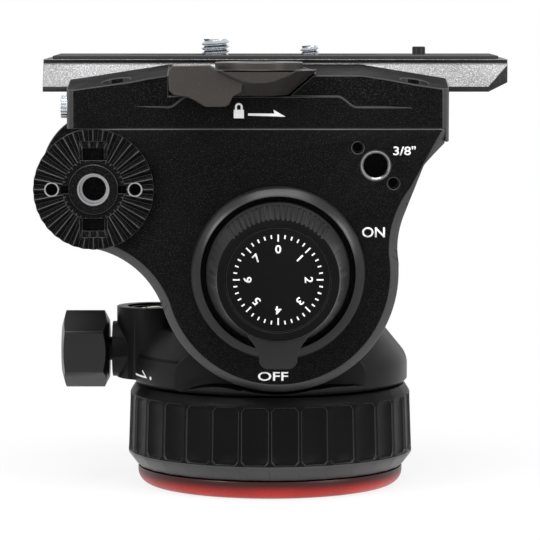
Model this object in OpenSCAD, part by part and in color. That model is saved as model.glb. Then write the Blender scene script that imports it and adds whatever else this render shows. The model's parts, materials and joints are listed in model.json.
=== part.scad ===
// Fluid head for a video camera, on a flat tripod base.
// Frame: +Z is up and the origin is on the pan axis, on the base's bottom face.
// +X is the lens side and -Y is the side that carries the counterbalance dial.

/* [Flat base] */
// Radius of the flat base
base_r = 44.9; // [42:0.1:48]
// Height of the flat base
base_h = 6.1; // [5.5:0.1:9]
// Rounding of the flat base's lower edge
base_round = 4.5; // [1:0.1:5]
// Wall radius of the 3/8 inch tripod thread
thread_r = 4; // [3.9:0.05:4.7]
// Length of the threaded bush in the base
bush_len = 13.5; // [10:0.5:18]

/* [Pan stage] */
// Radius of the pan drag ring at its widest
ring_r = 48.2; // [46:0.1:52]
// Height of the pan drag ring
ring_h = 27; // [22:0.1:30]
// Number of grip panels around the pan drag ring
ring_panels = 30; // [18:1:36]
// Depth of a grip panel
panel_depth = 0.8; // [0.5:0.05:1]
// Radius of the hub that the pan drag ring turns on
hub_r = 36; // [34:0.1:38]
// Radius of the pan spindle
spindle_r = 14; // [11:0.1:15]
// Radius of the pan housing's skirt
skirt_r = 46.6; // [45:0.1:48]
// Height of the pan housing's straight skirt
skirt_h = 8.8; // [7:0.1:11]
// Radius at the top of the pan housing's cone
cone_r = 38.5; // [36:0.1:41]
// Height of the pan housing above its bottom face, without the upright
housing_h = 18.8; // [17:0.1:24]
// Distance of the level pod's axis behind the pan axis
pod_x = 39; // [36:0.1:42]
// Radius of the level pod
pod_r = 13; // [11:0.1:14]
// Height of the pod's top above the pan housing's bottom face
pod_h = 25.4; // [23:0.1:30]
// Radius of the pan lock knob, across its corners
lock_r = 13.4; // [11:0.1:15]
// Length of the pan lock knob
lock_len = 16; // [12:0.1:20]

/* [Tilt stage] */
// Place of the tilt axis in front of the pan axis
tilt_x = 2.6; // [0:0.1:5]
// Height of the tilt axis
tilt_z = 75; // [72:0.1:78]
// Depth of the drums on the inside of the cheeks
drum_depth = 13.7; // [12:0.1:15]
// Radius of the upright's round top
upright_r = 26; // [22:0.1:28]
// Radius of the tilt axle
axle_r = 9; // [7:0.1:10]
// Radius of the drums on the inside of the cheeks
drum_r = 33; // [31:0.1:34]
// Tilt with the lens down, in degrees
tilt_down = 80; // [60:1:80]
// Tilt with the lens up, in degrees
tilt_up = 55; // [40:1:58]

/* [Cage] */
// Half the width across the cheeks' outer faces
cage_half = 46; // [44:0.1:48]
// Thickness of a cheek
cheek_t = 11; // [9:0.1:12]
// Radius of a cheek's round lower end
cheek_r = 39.4; // [38:0.1:40]
// Width of the bevel round a cheek's outer face
cheek_bevel = 2.5; // [1:0.1:3]
// Radius of the hollow curves that lead into a cheek's round end
waist_r = 30; // [26:0.5:34]
// Height of the seam between the cheeks and the plate clamp
seam_z = 121.8; // [120:0.1:124]
// Lean of a cheek's front edge from upright, in degrees
front_lean = 21; // [17:0.5:25]
// Place of a cheek's front edge just below its lip
front_edge_x = 50; // [48:0.1:52]
// Distance of the rosettes behind the pan axis
rosette_x = 57.2; // [55:0.1:60]
// Height of the rosettes' axis
rosette_z = 102.4; // [100:0.1:103]
// Radius of a rosette
rosette_r = 19.5; // [18:0.1:20]
// Height that a rosette stands out from the cheek
rosette_t = 4; // [3:0.1:5]
// Number of teeth on a rosette
rosette_teeth = 36; // [24:4:48]
// Place of the accessory ports in front of the pan axis
port_x = 34.3; // [33:0.1:36]
// Height of the accessory ports
port_z = 110; // [108:0.1:112]

/* [Dials] */
// Radius of the counterbalance dial where it meets the cheek
dial_r = 23.6; // [22:0.1:24]
// Radius of the counterbalance dial at its rim
dial_rim_r = 19.6; // [18:0.1:21]
// Height of the counterbalance dial
dial_h = 24.6; // [20:0.1:27]
// Reach of the dial's pointer tab from the tilt axis
tab_reach = 29.4; // [27:0.1:31]
// Width of the pointer tab at its end
tab_w = 12.3; // [10:0.1:14]
// Outer radius of the fixed bezel round the dial
bezel_r = 28; // [27:0.1:29]
// Height of the fixed bezel
bezel_h = 5; // [3:0.1:6]
// Radius of the tilt drag knob
drag_r = 23.5; // [21:0.1:25]
// Height of the tilt drag knob
drag_h = 17; // [14:0.1:20]
// Number of grip flutes on the tilt drag knob
drag_flutes = 24; // [12:1:30]
// Length of the tilt lock lever from its axis
tilt_lever_len = 30; // [25:0.5:34]

/* [Plate clamp] */
// Rear end of the clamp, behind the pan axis
clamp_rear = 66.1; // [64:0.1:69]
// Front end of the clamp, in front of the pan axis
clamp_front = 58.2; // [57.5:0.1:61]
// Height of the floor that the plate slides on
floor_z = 133.05; // [131:0.05:135]
// Thickness of the clamp's floor
floor_t = 7; // [5:0.1:8]
// Place of the lever's axis along the clamp
lever_x = -3.6; // [-6:0.1:0]
// Radius of the lever's top disc
lever_disc_r = 14.3; // [12:0.1:15]
// Radius of the lever's flared body
lever_flare_r = 19; // [17:0.1:19.2]
// Travel of the clamp jaw
jaw_travel = 0.5; // [0.3:0.05:0.8]

/* [Sliding plate] */
// Length of the sliding plate
plate_len = 153.7; // [140:0.1:160]
// Place of the plate's middle in front of the pan axis
plate_x = 1.8; // [0:0.1:3]
// Distance of the plate's lower edge inside the cage's outer face
plate_inset = 20; // [19.5:0.1:21]
// Run of the plate's dovetail slope on each side
plate_slope_run = 4; // [3.5:0.1:5]
// Height of the plate without its pad
plate_h = 10.7; // [10:0.1:12]
// Thickness of the rubber pad
pad_t = 1.1; // [0.8:0.1:2]
// Place of the 3/8 inch camera screw
big_screw_x = -18.4; // [-20:0.1:-17]
// Radius of the 3/8 inch camera screw
big_screw_r = 4.76; // [4.5:0.01:4.8]
// Height of the 3/8 inch screw above the pad
big_screw_up = 5.2; // [4:0.1:7]
// Place of the 1/4 inch camera screw
small_screw_x = 13.3; // [12:0.1:15]
// Radius of the 1/4 inch camera screw
small_screw_r = 3.17; // [3:0.01:3.3]
// Height of the 1/4 inch screw above the pad
small_screw_up = 3; // [2.5:0.1:6]
// Distance of the video pin from the plate's front end
pin_inset = 28.45; // [25.5:0.05:30.5]
// Radius of the video pin
pin_r = 2.2; // [1.5:0.1:2.4]
// Height of the video pin above the pad
pin_up = 2.7; // [2:0.1:3.5]

/* [Hidden] */

$fn = 96;

// Clearances: seated pieces, running shafts, and bodies that pass each other
fit = 0.03;
run = 0.05;
gap = 0.3;
// Overshoot of a cut past the face that it opens
over = 1;

// Heights of the pan stage, from the base up
ring_z = base_h + 0.8;
ring_top = ring_z + ring_h;
housing_z = ring_top + 0.7;
ring_bevel_top = 2.7;
ring_bevel_low = 4.8;
ring_top_r = ring_r - 0.7;
ring_edge_r = ring_r - 2.2;
ring_foot_r = ring_r - 3;
panel_w = 8.9 * 30 / ring_panels;
panel_low = ring_z + ring_bevel_low + 1.2;
panel_high = ring_top - ring_bevel_top - 0.4;
panel_corner = 1.3;
hub_lip = 2.5;
hub_lip_h = 2.5;

// Inside of the pan stage
flange_r = spindle_r + 6;
flange_h = 3.8;
flange_top = base_h + flange_h;
bearing_wall = 4;
bearing_h = 6.2;
bearing_r = spindle_r + bearing_wall;
low_bearing_z = flange_top + 0.5;
chamber_z = low_bearing_z + bearing_h + 1.6;
chamber_r = spindle_r + 11;
lock_z = housing_z + 10.7;
spindle_top = lock_z + 4.7;
bush_r = thread_r + 3;
base_screw_r = 1.6;
base_screw_head_r = 3;
base_screw_head_h = 3;
base_screw_sink = 0.4;
base_screw_pcd_r = spindle_r + 3;
base_screw_count = 3;
cover_screw_r = 1.5;
cover_screw_head_r = 2.8;
cover_screw_head_h = 3;
cover_screw_pcd_r = (chamber_r + hub_r) / 2;
cover_screw_count = 6;
cover_screw_grip = 6;

// Pan housing
skirt_chamfer = 1.2;
shoulder_r = 8;
cone_round = 2;
round_steps = 5;
cone_top = housing_z + housing_h;
pod_top = housing_z + pod_h;
boss_r = 9.4;
boss_x = pod_x + pod_r + 1.4;
level_r = 7.5;
level_depth = 6;
level_ring = 1.8;
level_floor = 1;
level_sink = 0.6;
stud_r = 4;
shoe_len = 4.6;
knob_x = boss_x + 1.1;
knob_bevel = 1.4;
knob_sides = 6;

// Inside of the tilt stage
cheek_in = cage_half - cheek_t;
plate_half = cage_half - plate_inset;
plate_top_half = plate_half - plate_slope_run;
cover_t = 2.3;
drum_in = cheek_in - drum_depth;
cover_in = drum_in - cover_t;
upright_half = cover_in - 1;
sweep_gap = 0.6;
drum_wall = 4;
cavity_r = drum_r - drum_wall;
tilt_bearing_wall = 5;
tilt_bearing_r = axle_r + tilt_bearing_wall;
tilt_boss_r = tilt_bearing_r + 3;
tilt_boss_in = drum_in + 3.2;
axle_end = cheek_in - 0.4;
shaft_r = 5;
drum_screw_r = 1.2;
drum_screw_len = 6;
drum_screw_count = 4;
web_t = 2;
rotor_rim = 4;

// Outline of a cheek, in X and Z
axis_pt = [tilt_x, tilt_z];
rosette_pt = [-rosette_x, rosette_z];
edge_drop = 11.6;
edge_pt = [front_edge_x, seam_z - edge_drop];
edge_dir = [sin(front_lean), cos(front_lean)];
edge_normal = [cos(front_lean), -sin(front_lean)];
lip_x = clamp_front - 1.4;
lip_in = 3.4;
lip_low = 4.6;
lip_mid = 8;

// Depth by which a hollow curve, and its bevel, runs into the curves and the edge that it leads to
tuck = 0.03;
bevel_lead = 0.1;

// Centre of a circle that touches two others from outside, on their lower side
function touching_centre(p, rp, q, rq, r) =
    let (
        d = norm(q - p),
        u = (q - p) / d,
        along = (d * d + pow(rp + r - tuck, 2) - pow(rq + r - tuck, 2)) / (2 * d),
        across = sqrt(pow(rp + r - tuck, 2) - along * along)
    ) p + along * u + across * [u[1], -u[0]];

// Centre of a circle that touches a circle and the front edge line
function edge_centre(p, rp, r) =
    let (
        off = r - tuck + (edge_pt - p) * edge_normal,
        up = sqrt(pow(rp + r - tuck, 2) - off * off)
    ) p + off * edge_normal + up * edge_dir;

// Unit vector in X and Z at a share of a full turn
function compass(turn) = [cos(360 * turn), sin(360 * turn)];

function toward(p, q, r) = p + r * (q - p) / norm(q - p);

// Points of the rounding between two straight sides of an outline that meet at a corner
function rounded(p, corner, q, r, steps) =
    let (
        u = (p - corner) / norm(p - corner),
        v = (q - corner) / norm(q - corner),
        half = acos(u * v) / 2,
        centre = corner + (u + v) / norm(u + v) * r / sin(half),
        from = corner + u * r / tan(half) - centre,
        to = corner + v * r / tan(half) - centre
    ) [for (i = [0 : steps]) let (m = from * (steps - i) + to * i) centre + r * m / norm(m)];

// Place that a point of the cage has in X and Z after a tilt with the lens down
function turned(p, a) =
    let (d = p - axis_pt)
        axis_pt + [d[0] * cos(a) + d[1] * sin(a), d[1] * cos(a) - d[0] * sin(a)];

rear_waist = touching_centre(rosette_pt, rosette_r, axis_pt, cheek_r, waist_r);
front_waist = edge_centre(axis_pt, cheek_r, waist_r);
edge_low_pt = front_waist - (waist_r - tuck) * edge_normal;

// Rosette details
rosette_hub_r = 8;
rosette_sink = 0.8;
rosette_land = 0.6;
rosette_tooth_in = 9.4;
tooth_in_depth = 0.9;
tooth_out_depth = 1.9;
tooth_flank = 40;
notch_at = 9.3;
notch_w = 2.8;
notch_h = 2.6;
notch_depth = 3;
liner_pitch = 13.5;
liner_r = 2.4;
liner_wall = 0.45;
liner_len = 5.6;
liner_sink = 0.5;
rosette_bore_r = 4.7;
rosette_bush_r = rosette_bore_r + 0.5;
rosette_neck_r = 3.9;
rosette_bush_in = cage_half - 4.5;
rosette_neck_len = 3;
window_w = 7;
window_h = 4;
window_flat_w = 9;
window_sink = 1.2;
window_out = 15.6;
arm_in = cage_half - 6;
arm_drop = 13.8;
arm_top = seam_z - arm_drop;
far_boss_r = rosette_r + 3.3;

// Accessory ports
port_bush_r = thread_r + 0.75;
port_bush_len = 10;
port_mouth_r = thread_r + 0.45;
locator_r = 1.85;
locator_depth = 5;
locator_at = 5.8;

// Dials
dial_in = cage_half + 1;
dial_out = dial_in + dial_h;
dial_cap_r = 16.9;
dial_cap_depth = 2;
cap_sink = 0.6;
cap_gap = 0.2;
dial_groove_r = 0.5;
dial_groove_count = 21;
dial_groove_step = 4.6;
bezel_wall = 1.2;
bezel_taper = 1.6;
tab_in = cage_half + bezel_h + 1.6;
tab_out = dial_out - 7;
tab_corner = 3;
tab_root_w = 18.7;
tab_flare = 6.4;
drag_in = cage_half + 0.6;
drag_cap_r = 14;
drag_cap_t = 1.6;
drag_flute_r = 2.2;
drag_flute_depth = 1.2;
drag_flute_at = drag_r + drag_flute_r - drag_flute_depth;
drag_skirt = 4;
tilt_lever_back = 26;
tilt_lever_up = 24;
tilt_lever_pt = [tilt_x - tilt_lever_back, tilt_z + tilt_lever_up];
tilt_lever_wall = 2;
tilt_lever_in = cage_half + 3;
tilt_lever_t = 9;
tilt_lever_hub_r = 7;
tilt_lever_end_r = 4.5;
tilt_lever_rise = 80;
tilt_stud_r = 3;

// Plate clamp
plate_z = floor_z + 0.25;
plate_lip = 1.7;
plate_slope_top = 8.9;
plate_top_z = plate_z + plate_h;
pad_top_z = plate_top_z + pad_t;
rail_top = plate_top_z - 1.6;
bay_rear = -33;
bay_front = 19.6;
fall_front = 30;
finger_z = floor_z - 4.15;
finger_depth = 2;
finger_rear = -45;
finger_front = 46.5;
finger_rise = 6.5;
finger_lead = 2.2;
bay_z = floor_z - 0.65;
underside_z = floor_z - floor_t;
notch_half = 15;
notch_x = -44;
rear_fall = 4.6;
front_fall = 4.2;
side_fall = 3.6;
clamp_corner = 4;
clamp_screw_rear = -50;
clamp_screw_front = 47;
clamp_screw_y = cage_half - 6.5;
clamp_screw_r = 2.5;
clamp_head_r = 4.3;
clamp_head_h = 5;
clamp_hex_r = 2.3;
clamp_hex_depth = 2.5;
clamp_head_z = seam_z + 6.2;
clamp_screw_grip = 9;
front_lip_drop = 4.2;

// Plate lock lever
lever_z = bay_z + 0.4;
lever_top = plate_top_z - 0.5;
lever_flare_z = lever_top - 2.5;
lever_root_r = 9.6;
lever_y = cage_half - 3.4;
lever_sides = 16;
nest_r = lever_root_r + 0.8;
nest_slope = (lever_flare_r - lever_root_r) / (lever_flare_z - lever_z);
lever_disc_t = 1.6;
lever_front_y = cage_half + 11;
lever_bolt_r = 4;
lever_foot_r = 2.2;
lever_bolt_head_r = 6.5;
lever_bolt_head_h = 2.2;
lever_bolt_foot = 123;
grip_out = cage_half + 9.5;
grip_in = cage_half + 3 * gap;

// Outline of the lever's grip in X and Z, from the top of its axis
grip_outline = [
    [-5.4, -3.4], [-12.2, -3.1], [-13.8, -2], [-15.8, -0.8], [-28.1, -1], [-29, -2.8],
    [-28.9, -8.9], [-27.4, -10.4], [-22.9, -11], [-20.3, -12.3], [-17.1, -14.2],
    [-10.9, -14.2], [-9.6, -13.6], [-8.4, -11], [-5.4, -9.4]
];

// Jaw and release button
jaw_open = jaw_travel + gap;
jaw_nest = 0.2;
jaw_out = lever_y - lever_root_r + jaw_nest;
jaw_rise = 3.3;
jaw_top = plate_z + jaw_rise;
jaw_end_gap = 2;
button_y = cage_half - 6.5;
button_z = seam_z + 7.1;
button_r = 3.75;
button_len = 8;
button_up = 2;
button_travel = 2;
button_flutes = 18;
button_flute_r = 0.4;

// Sliding plate
lead_in = 6.5;
lead_in_rise = 3;
lead_in_side = 4;
groove_in = 0.6;
groove_edge = 0.25;
pad_side = 1.2;
pad_end = 3;
slot_w = 2 * big_screw_r + 0.7;
slot_rear = -50;
slot_front = 38;
track_half = 10;
track_h = 6.7;
track_rear = -58;
track_front = 46;
carriage_len = 22;
carriage_t = 3;
carriage_gap = 0.3;
carriage_z = plate_z + track_h - carriage_gap - carriage_t;
screw_head_r = 8.5;
screw_head_t = 2.5;
screw_slot_w = 2;
screw_slot_depth = 1.2;
screw_point = 0.8;
screw_neck = 0.7;
screw_lead = 0.2;
pin_x = plate_x + plate_len / 2 - pin_inset;
pin_stem_r = pin_r + 0.5;
pin_flange_r = 3.6;
pin_flange_t = 1.5;
pin_pocket_r = 4;
pin_pocket_h = 7.7;
pin_plug_t = 1.4;

// Colours, as seen
black = [0.11, 0.105, 0.11];
satin = [0.18, 0.18, 0.19];
pewter = [0.32, 0.3, 0.29];
steel = [0.7, 0.72, 0.75];
brass = [0.72, 0.6, 0.36];
red = [0.7, 0.12, 0.11];
rubber = [0.06, 0.06, 0.06];
glass = [0.75, 0.85, 0.45];

// Shapes that repeat

// Cylinder or cone along -Y on the near side, from half-width a to b, at p in X and Z
module across(p, a, b, r, r2 = -1) {
    translate([p[0], -a, p[1]])
        rotate([90, 0, 0])
            cylinder(h = b - a, r1 = r, r2 = r2 < 0 ? r : r2);
}

// Slab of an X-Z outline on the near side, from half-width a to b
module slab(a, b) {
    translate([0, -a, 0])
        rotate([90, 0, 0])
            linear_extrude(b - a)
                children();
}

module far_side() {
    mirror([0, 1, 0])
        children();
}

module both_sides() {
    children();
    far_side()
        children();
}

module ring(outer, inner, z, h) {
    translate([0, 0, z])
        difference() {
            cylinder(h = h, r = outer);
            translate([0, 0, -over])
                cylinder(h = h + 2 * over, r = inner);
        }
}

module round_about(count, r) {
    for (i = [0 : count - 1])
        rotate([0, 0, i * 360 / count])
            translate([r, 0, 0])
                children();
}

// Cylinder along X from x0 to x1, at y and z
module along(x0, x1, y, z, r) {
    translate([x0, y, z])
        rotate([0, 90, 0])
            cylinder(h = x1 - x0, r = r);
}

// Upright cylinder from z0 to z1 at x and y
module upright(x, y, z0, z1, r, r2 = -1) {
    translate([x, y, z0])
        cylinder(h = z1 - z0, r1 = r, r2 = r2 < 0 ? r : r2);
}

module box(x0, x1, y0, y1, z0, z1) {
    translate([x0, y0, z0])
        cube([x1 - x0, y1 - y0, z1 - z0]);
}

// Flat base

module base_section() {
    difference() {
        square([base_r, base_h]);
        difference() {
            translate([base_r - base_round, 0])
                square([base_round + over, base_round]);
            translate([base_r - base_round, base_round])
                circle(r = base_round);
        }
    }
}

module base_screw_holes(r, z0, z1) {
    round_about(base_screw_count, base_screw_pcd_r)
        translate([0, 0, z0])
            cylinder(h = z1 - z0, r = r);
}

module flat_base() {
    color(red)
        difference() {
            rotate_extrude()
                base_section();
            translate([0, 0, -over])
                cylinder(h = base_h + 2 * over, r = bush_r + fit);
            base_screw_holes(base_screw_r + fit, -over, base_h + over);
            base_screw_holes(base_screw_head_r + fit, -over, base_screw_sink + base_screw_head_h);
        }
}

module base_bush() {
    color(steel)
        ring(bush_r, thread_r, 0, bush_len);
}

module pan_spindle() {
    color(steel)
        difference() {
            union() {
                upright(0, 0, base_h, flange_top, flange_r);
                upright(0, 0, base_h, spindle_top, spindle_r);
            }
            upright(0, 0, base_h - over, bush_len + gap, bush_r + fit);
            base_screw_holes(base_screw_r + fit, base_h - over, flange_top - gap);
        }
}

module base_screws() {
    color(steel)
        round_about(base_screw_count, base_screw_pcd_r) {
            upright(0, 0, base_screw_sink, base_screw_sink + base_screw_head_h, base_screw_head_r);
            upright(0, 0, base_screw_sink, flange_top - 2 * gap, base_screw_r);
        }
}

module pan_rotor() {
    color(brass)
        ring(chamber_r - gap, spindle_r + fit, chamber_z + gap, housing_z - chamber_z - 2 * gap);
}

// Pan body

module pan_cover() {
    color(satin)
        difference() {
            union() {
                upright(0, 0, ring_z, housing_z, hub_r);
                upright(0, 0, ring_z, ring_z + hub_lip_h, hub_r + hub_lip);
            }
            upright(0, 0, ring_z - over, low_bearing_z, flange_r + gap);
            upright(0, 0, low_bearing_z - over, low_bearing_z + bearing_h, bearing_r + fit);
            upright(0, 0, low_bearing_z, chamber_z + over, spindle_r + 1);
            upright(0, 0, chamber_z, housing_z + over, chamber_r);
            round_about(cover_screw_count, cover_screw_pcd_r) {
                upright(0, 0, ring_z - over, housing_z + over, cover_screw_r + fit);
                upright(0, 0, ring_z - over, ring_z + cover_screw_head_h, cover_screw_head_r + fit);
            }
        }
}

module cover_screws() {
    color(steel)
        round_about(cover_screw_count, cover_screw_pcd_r) {
            upright(0, 0, ring_z, ring_z + cover_screw_head_h, cover_screw_head_r);
            upright(0, 0, ring_z, housing_z + cover_screw_grip - gap, cover_screw_r);
        }
}

module pan_bearings() {
    color(steel) {
        ring(bearing_r, spindle_r + run, low_bearing_z, bearing_h);
        ring(bearing_r, spindle_r + run, housing_z + gap, bearing_h - gap);
    }
}

// Space that the cage sweeps as it tilts
module cage_sweep() {
    both_sides() {
        across(axis_pt, cheek_in - sweep_gap, base_r * 2, cheek_r + sweep_gap);
        across(axis_pt, cover_in - sweep_gap, cheek_in, drum_r + sweep_gap);
        slab(cheek_in - sweep_gap, base_r * 2) {
            wing_sweep(front_waist, tilt_down, [edge_low_pt, edge_pt]);
            wing_sweep(rear_waist, -tilt_up, [toward(rosette_pt, rear_waist, rosette_r)]);
        }
    }
}

// Outline of what lies above a cheek's hollow edge when it is tilted, towards the end of that edge
module wing_sweep(waist, tilt, ends) {
    low = [for (p = ends) turned(p, tilt) - [0, sweep_gap]];
    last = low[len(low) - 1];
    side = sign(tilt);
    difference() {
        polygon(concat(
            [axis_pt, turned(toward(axis_pt, waist, cheek_r), tilt) - [0, sweep_gap]],
            low,
            [[side * 3 * cheek_r, last[1]], [side * 3 * cheek_r, tilt_z]]
        ));
        translate(turned(waist, tilt))
            circle(r = waist_r - 2 * sweep_gap);
    }
}

module housing_shell() {
    low = [skirt_r, housing_z + skirt_chamfer];
    corner = [skirt_r, housing_z + skirt_h];
    high = [cone_r, cone_top];
    rotate_extrude()
        polygon(concat(
            [[0, housing_z], [skirt_r - skirt_chamfer, housing_z], low],
            rounded(low, corner, high, shoulder_r, round_steps),
            rounded(corner, high, [0, cone_top], cone_round, round_steps),
            [[0, cone_top]]
        ));
}

module housing_upright() {
    slab(-upright_half, upright_half) {
        translate(axis_pt)
            circle(r = upright_r);
        translate([tilt_x - upright_r, cone_top - 2])
            square([2 * upright_r, tilt_z - cone_top + 2]);
    }
}

module pan_housing() {
    color(satin)
        difference() {
            union() {
                difference() {
                    union() {
                        housing_shell();
                        upright(-pod_x, 0, housing_z + skirt_chamfer, pod_top, pod_r);
                    }
                    cage_sweep();
                }
                along(-boss_x, -pod_x, 0, lock_z, boss_r);
                housing_upright();
            }
            upright(0, 0, housing_z - over, housing_z + bearing_h, bearing_r + fit);
            upright(0, 0, housing_z, spindle_top + gap, spindle_r + gap);
            along(-boss_x - over, 0, 0, lock_z, stud_r + run);
            across(axis_pt, -upright_half - over, upright_half + over, axle_r + fit);
            upright(-pod_x, 0, pod_top - level_depth, pod_top + over, level_r + level_ring + fit);
            round_about(cover_screw_count, cover_screw_pcd_r)
                upright(0, 0, housing_z - over, housing_z + cover_screw_grip, cover_screw_r + fit);
        }
}

module level_bezel() {
    color(black)
        translate([-pod_x, 0, 0])
            difference() {
                upright(0, 0, pod_top - level_depth, pod_top - level_sink, level_r + level_ring);
                upright(0, 0, pod_top - level_depth + level_floor, pod_top + over, level_r + fit);
            }
}

module level_vial() {
    color(glass)
        upright(-pod_x, 0, pod_top - level_depth + level_floor, pod_top - 2 * level_sink, level_r);
}

module pan_brake_shoe() {
    color(brass)
        along(-spindle_r - gap - shoe_len, -spindle_r - gap, 0, lock_z, stud_r);
}

module pan_lock_stud() {
    color(black)
        along(-knob_x - lock_len / 2, -spindle_r - 2 * gap - shoe_len, 0, lock_z, stud_r);
}

module pan_lock_knob() {
    color(black)
        translate([-knob_x, 0, lock_z])
            rotate([0, -90, 0])
                difference() {
                    intersection() {
                        rotate([0, 0, 90 - 180 / knob_sides])
                            cylinder(h = lock_len, r = lock_r, $fn = knob_sides);
                        rotate_extrude()
                            polygon([
                                [0, 0],
                                [lock_r - 2 * knob_bevel, 0],
                                [lock_r - knob_bevel / 3, 2 * knob_bevel],
                                [lock_r - knob_bevel / 3, lock_len - knob_bevel],
                                [lock_r - knob_bevel, lock_len],
                                [0, lock_len]
                            ]);
                    }
                    translate([0, 0, -over])
                        cylinder(h = lock_len / 2 + over, r = stud_r + fit);
                }
}

// Pan drag ring

// Flat-bottomed pocket between two grip ridges, at the +X side of the ring
module panel_cutter() {
    half = panel_w / 2;
    translate([ring_r - panel_depth, 0, 0])
        rotate([90, 0, 90])
            linear_extrude(2 * panel_depth)
                polygon([
                    [-half, panel_low + panel_corner], [panel_corner - half, panel_low],
                    [half - panel_corner, panel_low], [half, panel_low + panel_corner],
                    [half, panel_high - panel_corner / 2], [half - panel_corner, panel_high],
                    [panel_corner - half, panel_high], [-half, panel_high - panel_corner / 2]
                ]);
}

module pan_drag_ring() {
    color(satin)
        difference() {
            rotate_extrude()
                polygon([
                    [hub_r + hub_lip + gap, ring_z],
                    [ring_foot_r, ring_z],
                    [ring_r, ring_z + ring_bevel_low],
                    [ring_top_r, ring_top - ring_bevel_top],
                    [ring_edge_r, ring_top],
                    [hub_r + gap, ring_top],
                    [hub_r + gap, ring_z + hub_lip_h + gap],
                    [hub_r + hub_lip + gap, ring_z + hub_lip_h + gap]
                ]);
            round_about(ring_panels, 0)
                panel_cutter();
        }
}

// Tilt stage on the pan body

module tilt_axle() {
    color(steel)
        across(axis_pt, -axle_end, axle_end, axle_r);
}

module tilt_rotor() {
    color(brass)
        far_side()
            difference() {
                across(axis_pt, drum_in + gap, cheek_in - gap, cavity_r - 2 * gap);
                across(axis_pt, drum_in, cheek_in, axle_r + fit);
                across(axis_pt, drum_in + gap + web_t, cheek_in, cavity_r - 2 * gap - rotor_rim);
            }
}

// Cage

module wing_outline() {
    polygon([
        axis_pt,
        toward(axis_pt, front_waist, cheek_r),
        edge_low_pt,
        edge_pt,
        [lip_x - lip_in, seam_z - lip_mid],
        [lip_x, seam_z - lip_low],
        [lip_x, seam_z],
        [-rosette_x, seam_z],
        rosette_pt,
        toward(rosette_pt, rear_waist, rosette_r),
        toward(axis_pt, rear_waist, cheek_r)
    ]);
}

// Hollow waist cut, which widens through the bevel
module waist_cut(p) {
    across(p, cheek_in - over, cage_half + over, waist_r);
    across(p, cage_half - cheek_bevel - bevel_lead, cage_half + over, waist_r - bevel_lead / 2,
        waist_r + cheek_bevel + over + bevel_lead);
}

// Bevel along the straight front edge
module edge_bevel_cut() {
    reach = norm(edge_pt - edge_low_pt);
    deep = cheek_bevel / sqrt(2);
    translate([edge_low_pt[0], -cage_half, edge_low_pt[1]])
        rotate([0, front_lean, 0])
            rotate([0, 0, 135])
                translate([deep, 0, 0])
                    rotate([0, -atan(deep / reach), 0])
                        translate([-2 * cheek_bevel, -2 * cheek_bevel, 0])
                            cube([2 * cheek_bevel, 4 * cheek_bevel, 2 * reach]);
}

module cheek_block(arm_r) {
    across(axis_pt, cheek_in, cage_half - cheek_bevel, cheek_r);
    across(axis_pt, cage_half - cheek_bevel, cage_half, cheek_r, cheek_r - cheek_bevel);
    difference() {
        union() {
            slab(cheek_in, cage_half)
                wing_outline();
            across(rosette_pt, cheek_in, cage_half, arm_r);
        }
        waist_cut(rear_waist);
        waist_cut(front_waist);
        edge_bevel_cut();
        box(-2 * rosette_x, clamp_front, -2 * cage_half, 0, seam_z, 2 * seam_z);
        box(-2 * rosette_x, tilt_x - cheek_r, -arm_in, 0, 0, arm_top);
    }
    across(axis_pt, drum_in, cheek_in + over, drum_r);
}

module cheek_cuts() {
    difference() {
        across(axis_pt, drum_in - over, cheek_in, cavity_r);
        across(axis_pt, tilt_boss_in, cheek_in + over, tilt_boss_r);
    }
    across(axis_pt, tilt_boss_in - over, cheek_in, tilt_bearing_r + fit);
    across(axis_pt, cheek_in - over, cage_half + over, shaft_r + run);
    across([port_x, port_z], cage_half - port_bush_len, cage_half + over, port_bush_r + fit);
    for (side = [-1, 1])
        across([port_x + side * locator_at, port_z - side * locator_at],
            cage_half - locator_depth, cage_half + over, locator_r);
    across(rosette_pt, rosette_bush_in, cage_half + over, rosette_bush_r + fit);
    for (side = [-1, 1])
        across(rosette_pt + [side * liner_pitch, 0],
            cage_half + rosette_t - liner_sink - liner_len - gap, cage_half + over, liner_r + fit);
    for (x = [clamp_screw_rear, clamp_screw_front])
        upright(x, -clamp_screw_y, seam_z - clamp_screw_grip, seam_z + over, clamp_screw_r + fit);
    drum_screw_places()
        cylinder(h = drum_screw_len + gap + over, r = drum_screw_r + fit);
}

// Places of the drum cover's screws, with +Z pointing out through the cheek
module drum_screw_places() {
    for (i = [0 : drum_screw_count - 1])
        translate([tilt_x, -drum_in, tilt_z])
            rotate([90, 0, 0])
                rotate([0, 0, 45 + i * 360 / drum_screw_count])
                    translate([drum_r - drum_wall / 2, 0, -cover_t])
                        children();
}

module near_cheek() {
    color(black)
        difference() {
            cheek_block(rosette_r);
            cheek_cuts();
        }
}

module far_cheek() {
    color(black)
        far_side()
            difference() {
                cheek_block(far_boss_r);
                cheek_cuts();
                across(tilt_lever_pt, cheek_in + 2, cage_half + over, tilt_stud_r + run);
            }
}

module drum_cover() {
    difference() {
        across(axis_pt, cover_in, drum_in, drum_r);
        across(axis_pt, cover_in - over, drum_in + over, axle_r + gap);
        drum_screw_places()
            translate([0, 0, -over])
                cylinder(h = cover_t + 2 * over, r = drum_screw_r + fit);
    }
}

module near_drum_cover() {
    color(black)
        drum_cover();
}

module far_drum_cover() {
    color(black)
        far_side()
            drum_cover();
}

module drum_screws() {
    color(steel)
        both_sides()
            drum_screw_places()
                cylinder(h = drum_screw_len, r = drum_screw_r);
}

module tilt_bearings() {
    color(steel)
        both_sides()
            difference() {
                across(axis_pt, tilt_boss_in + 1, axle_end - gap, tilt_bearing_r);
                across(axis_pt, tilt_boss_in, axle_end, axle_r + run);
            }
}

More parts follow.
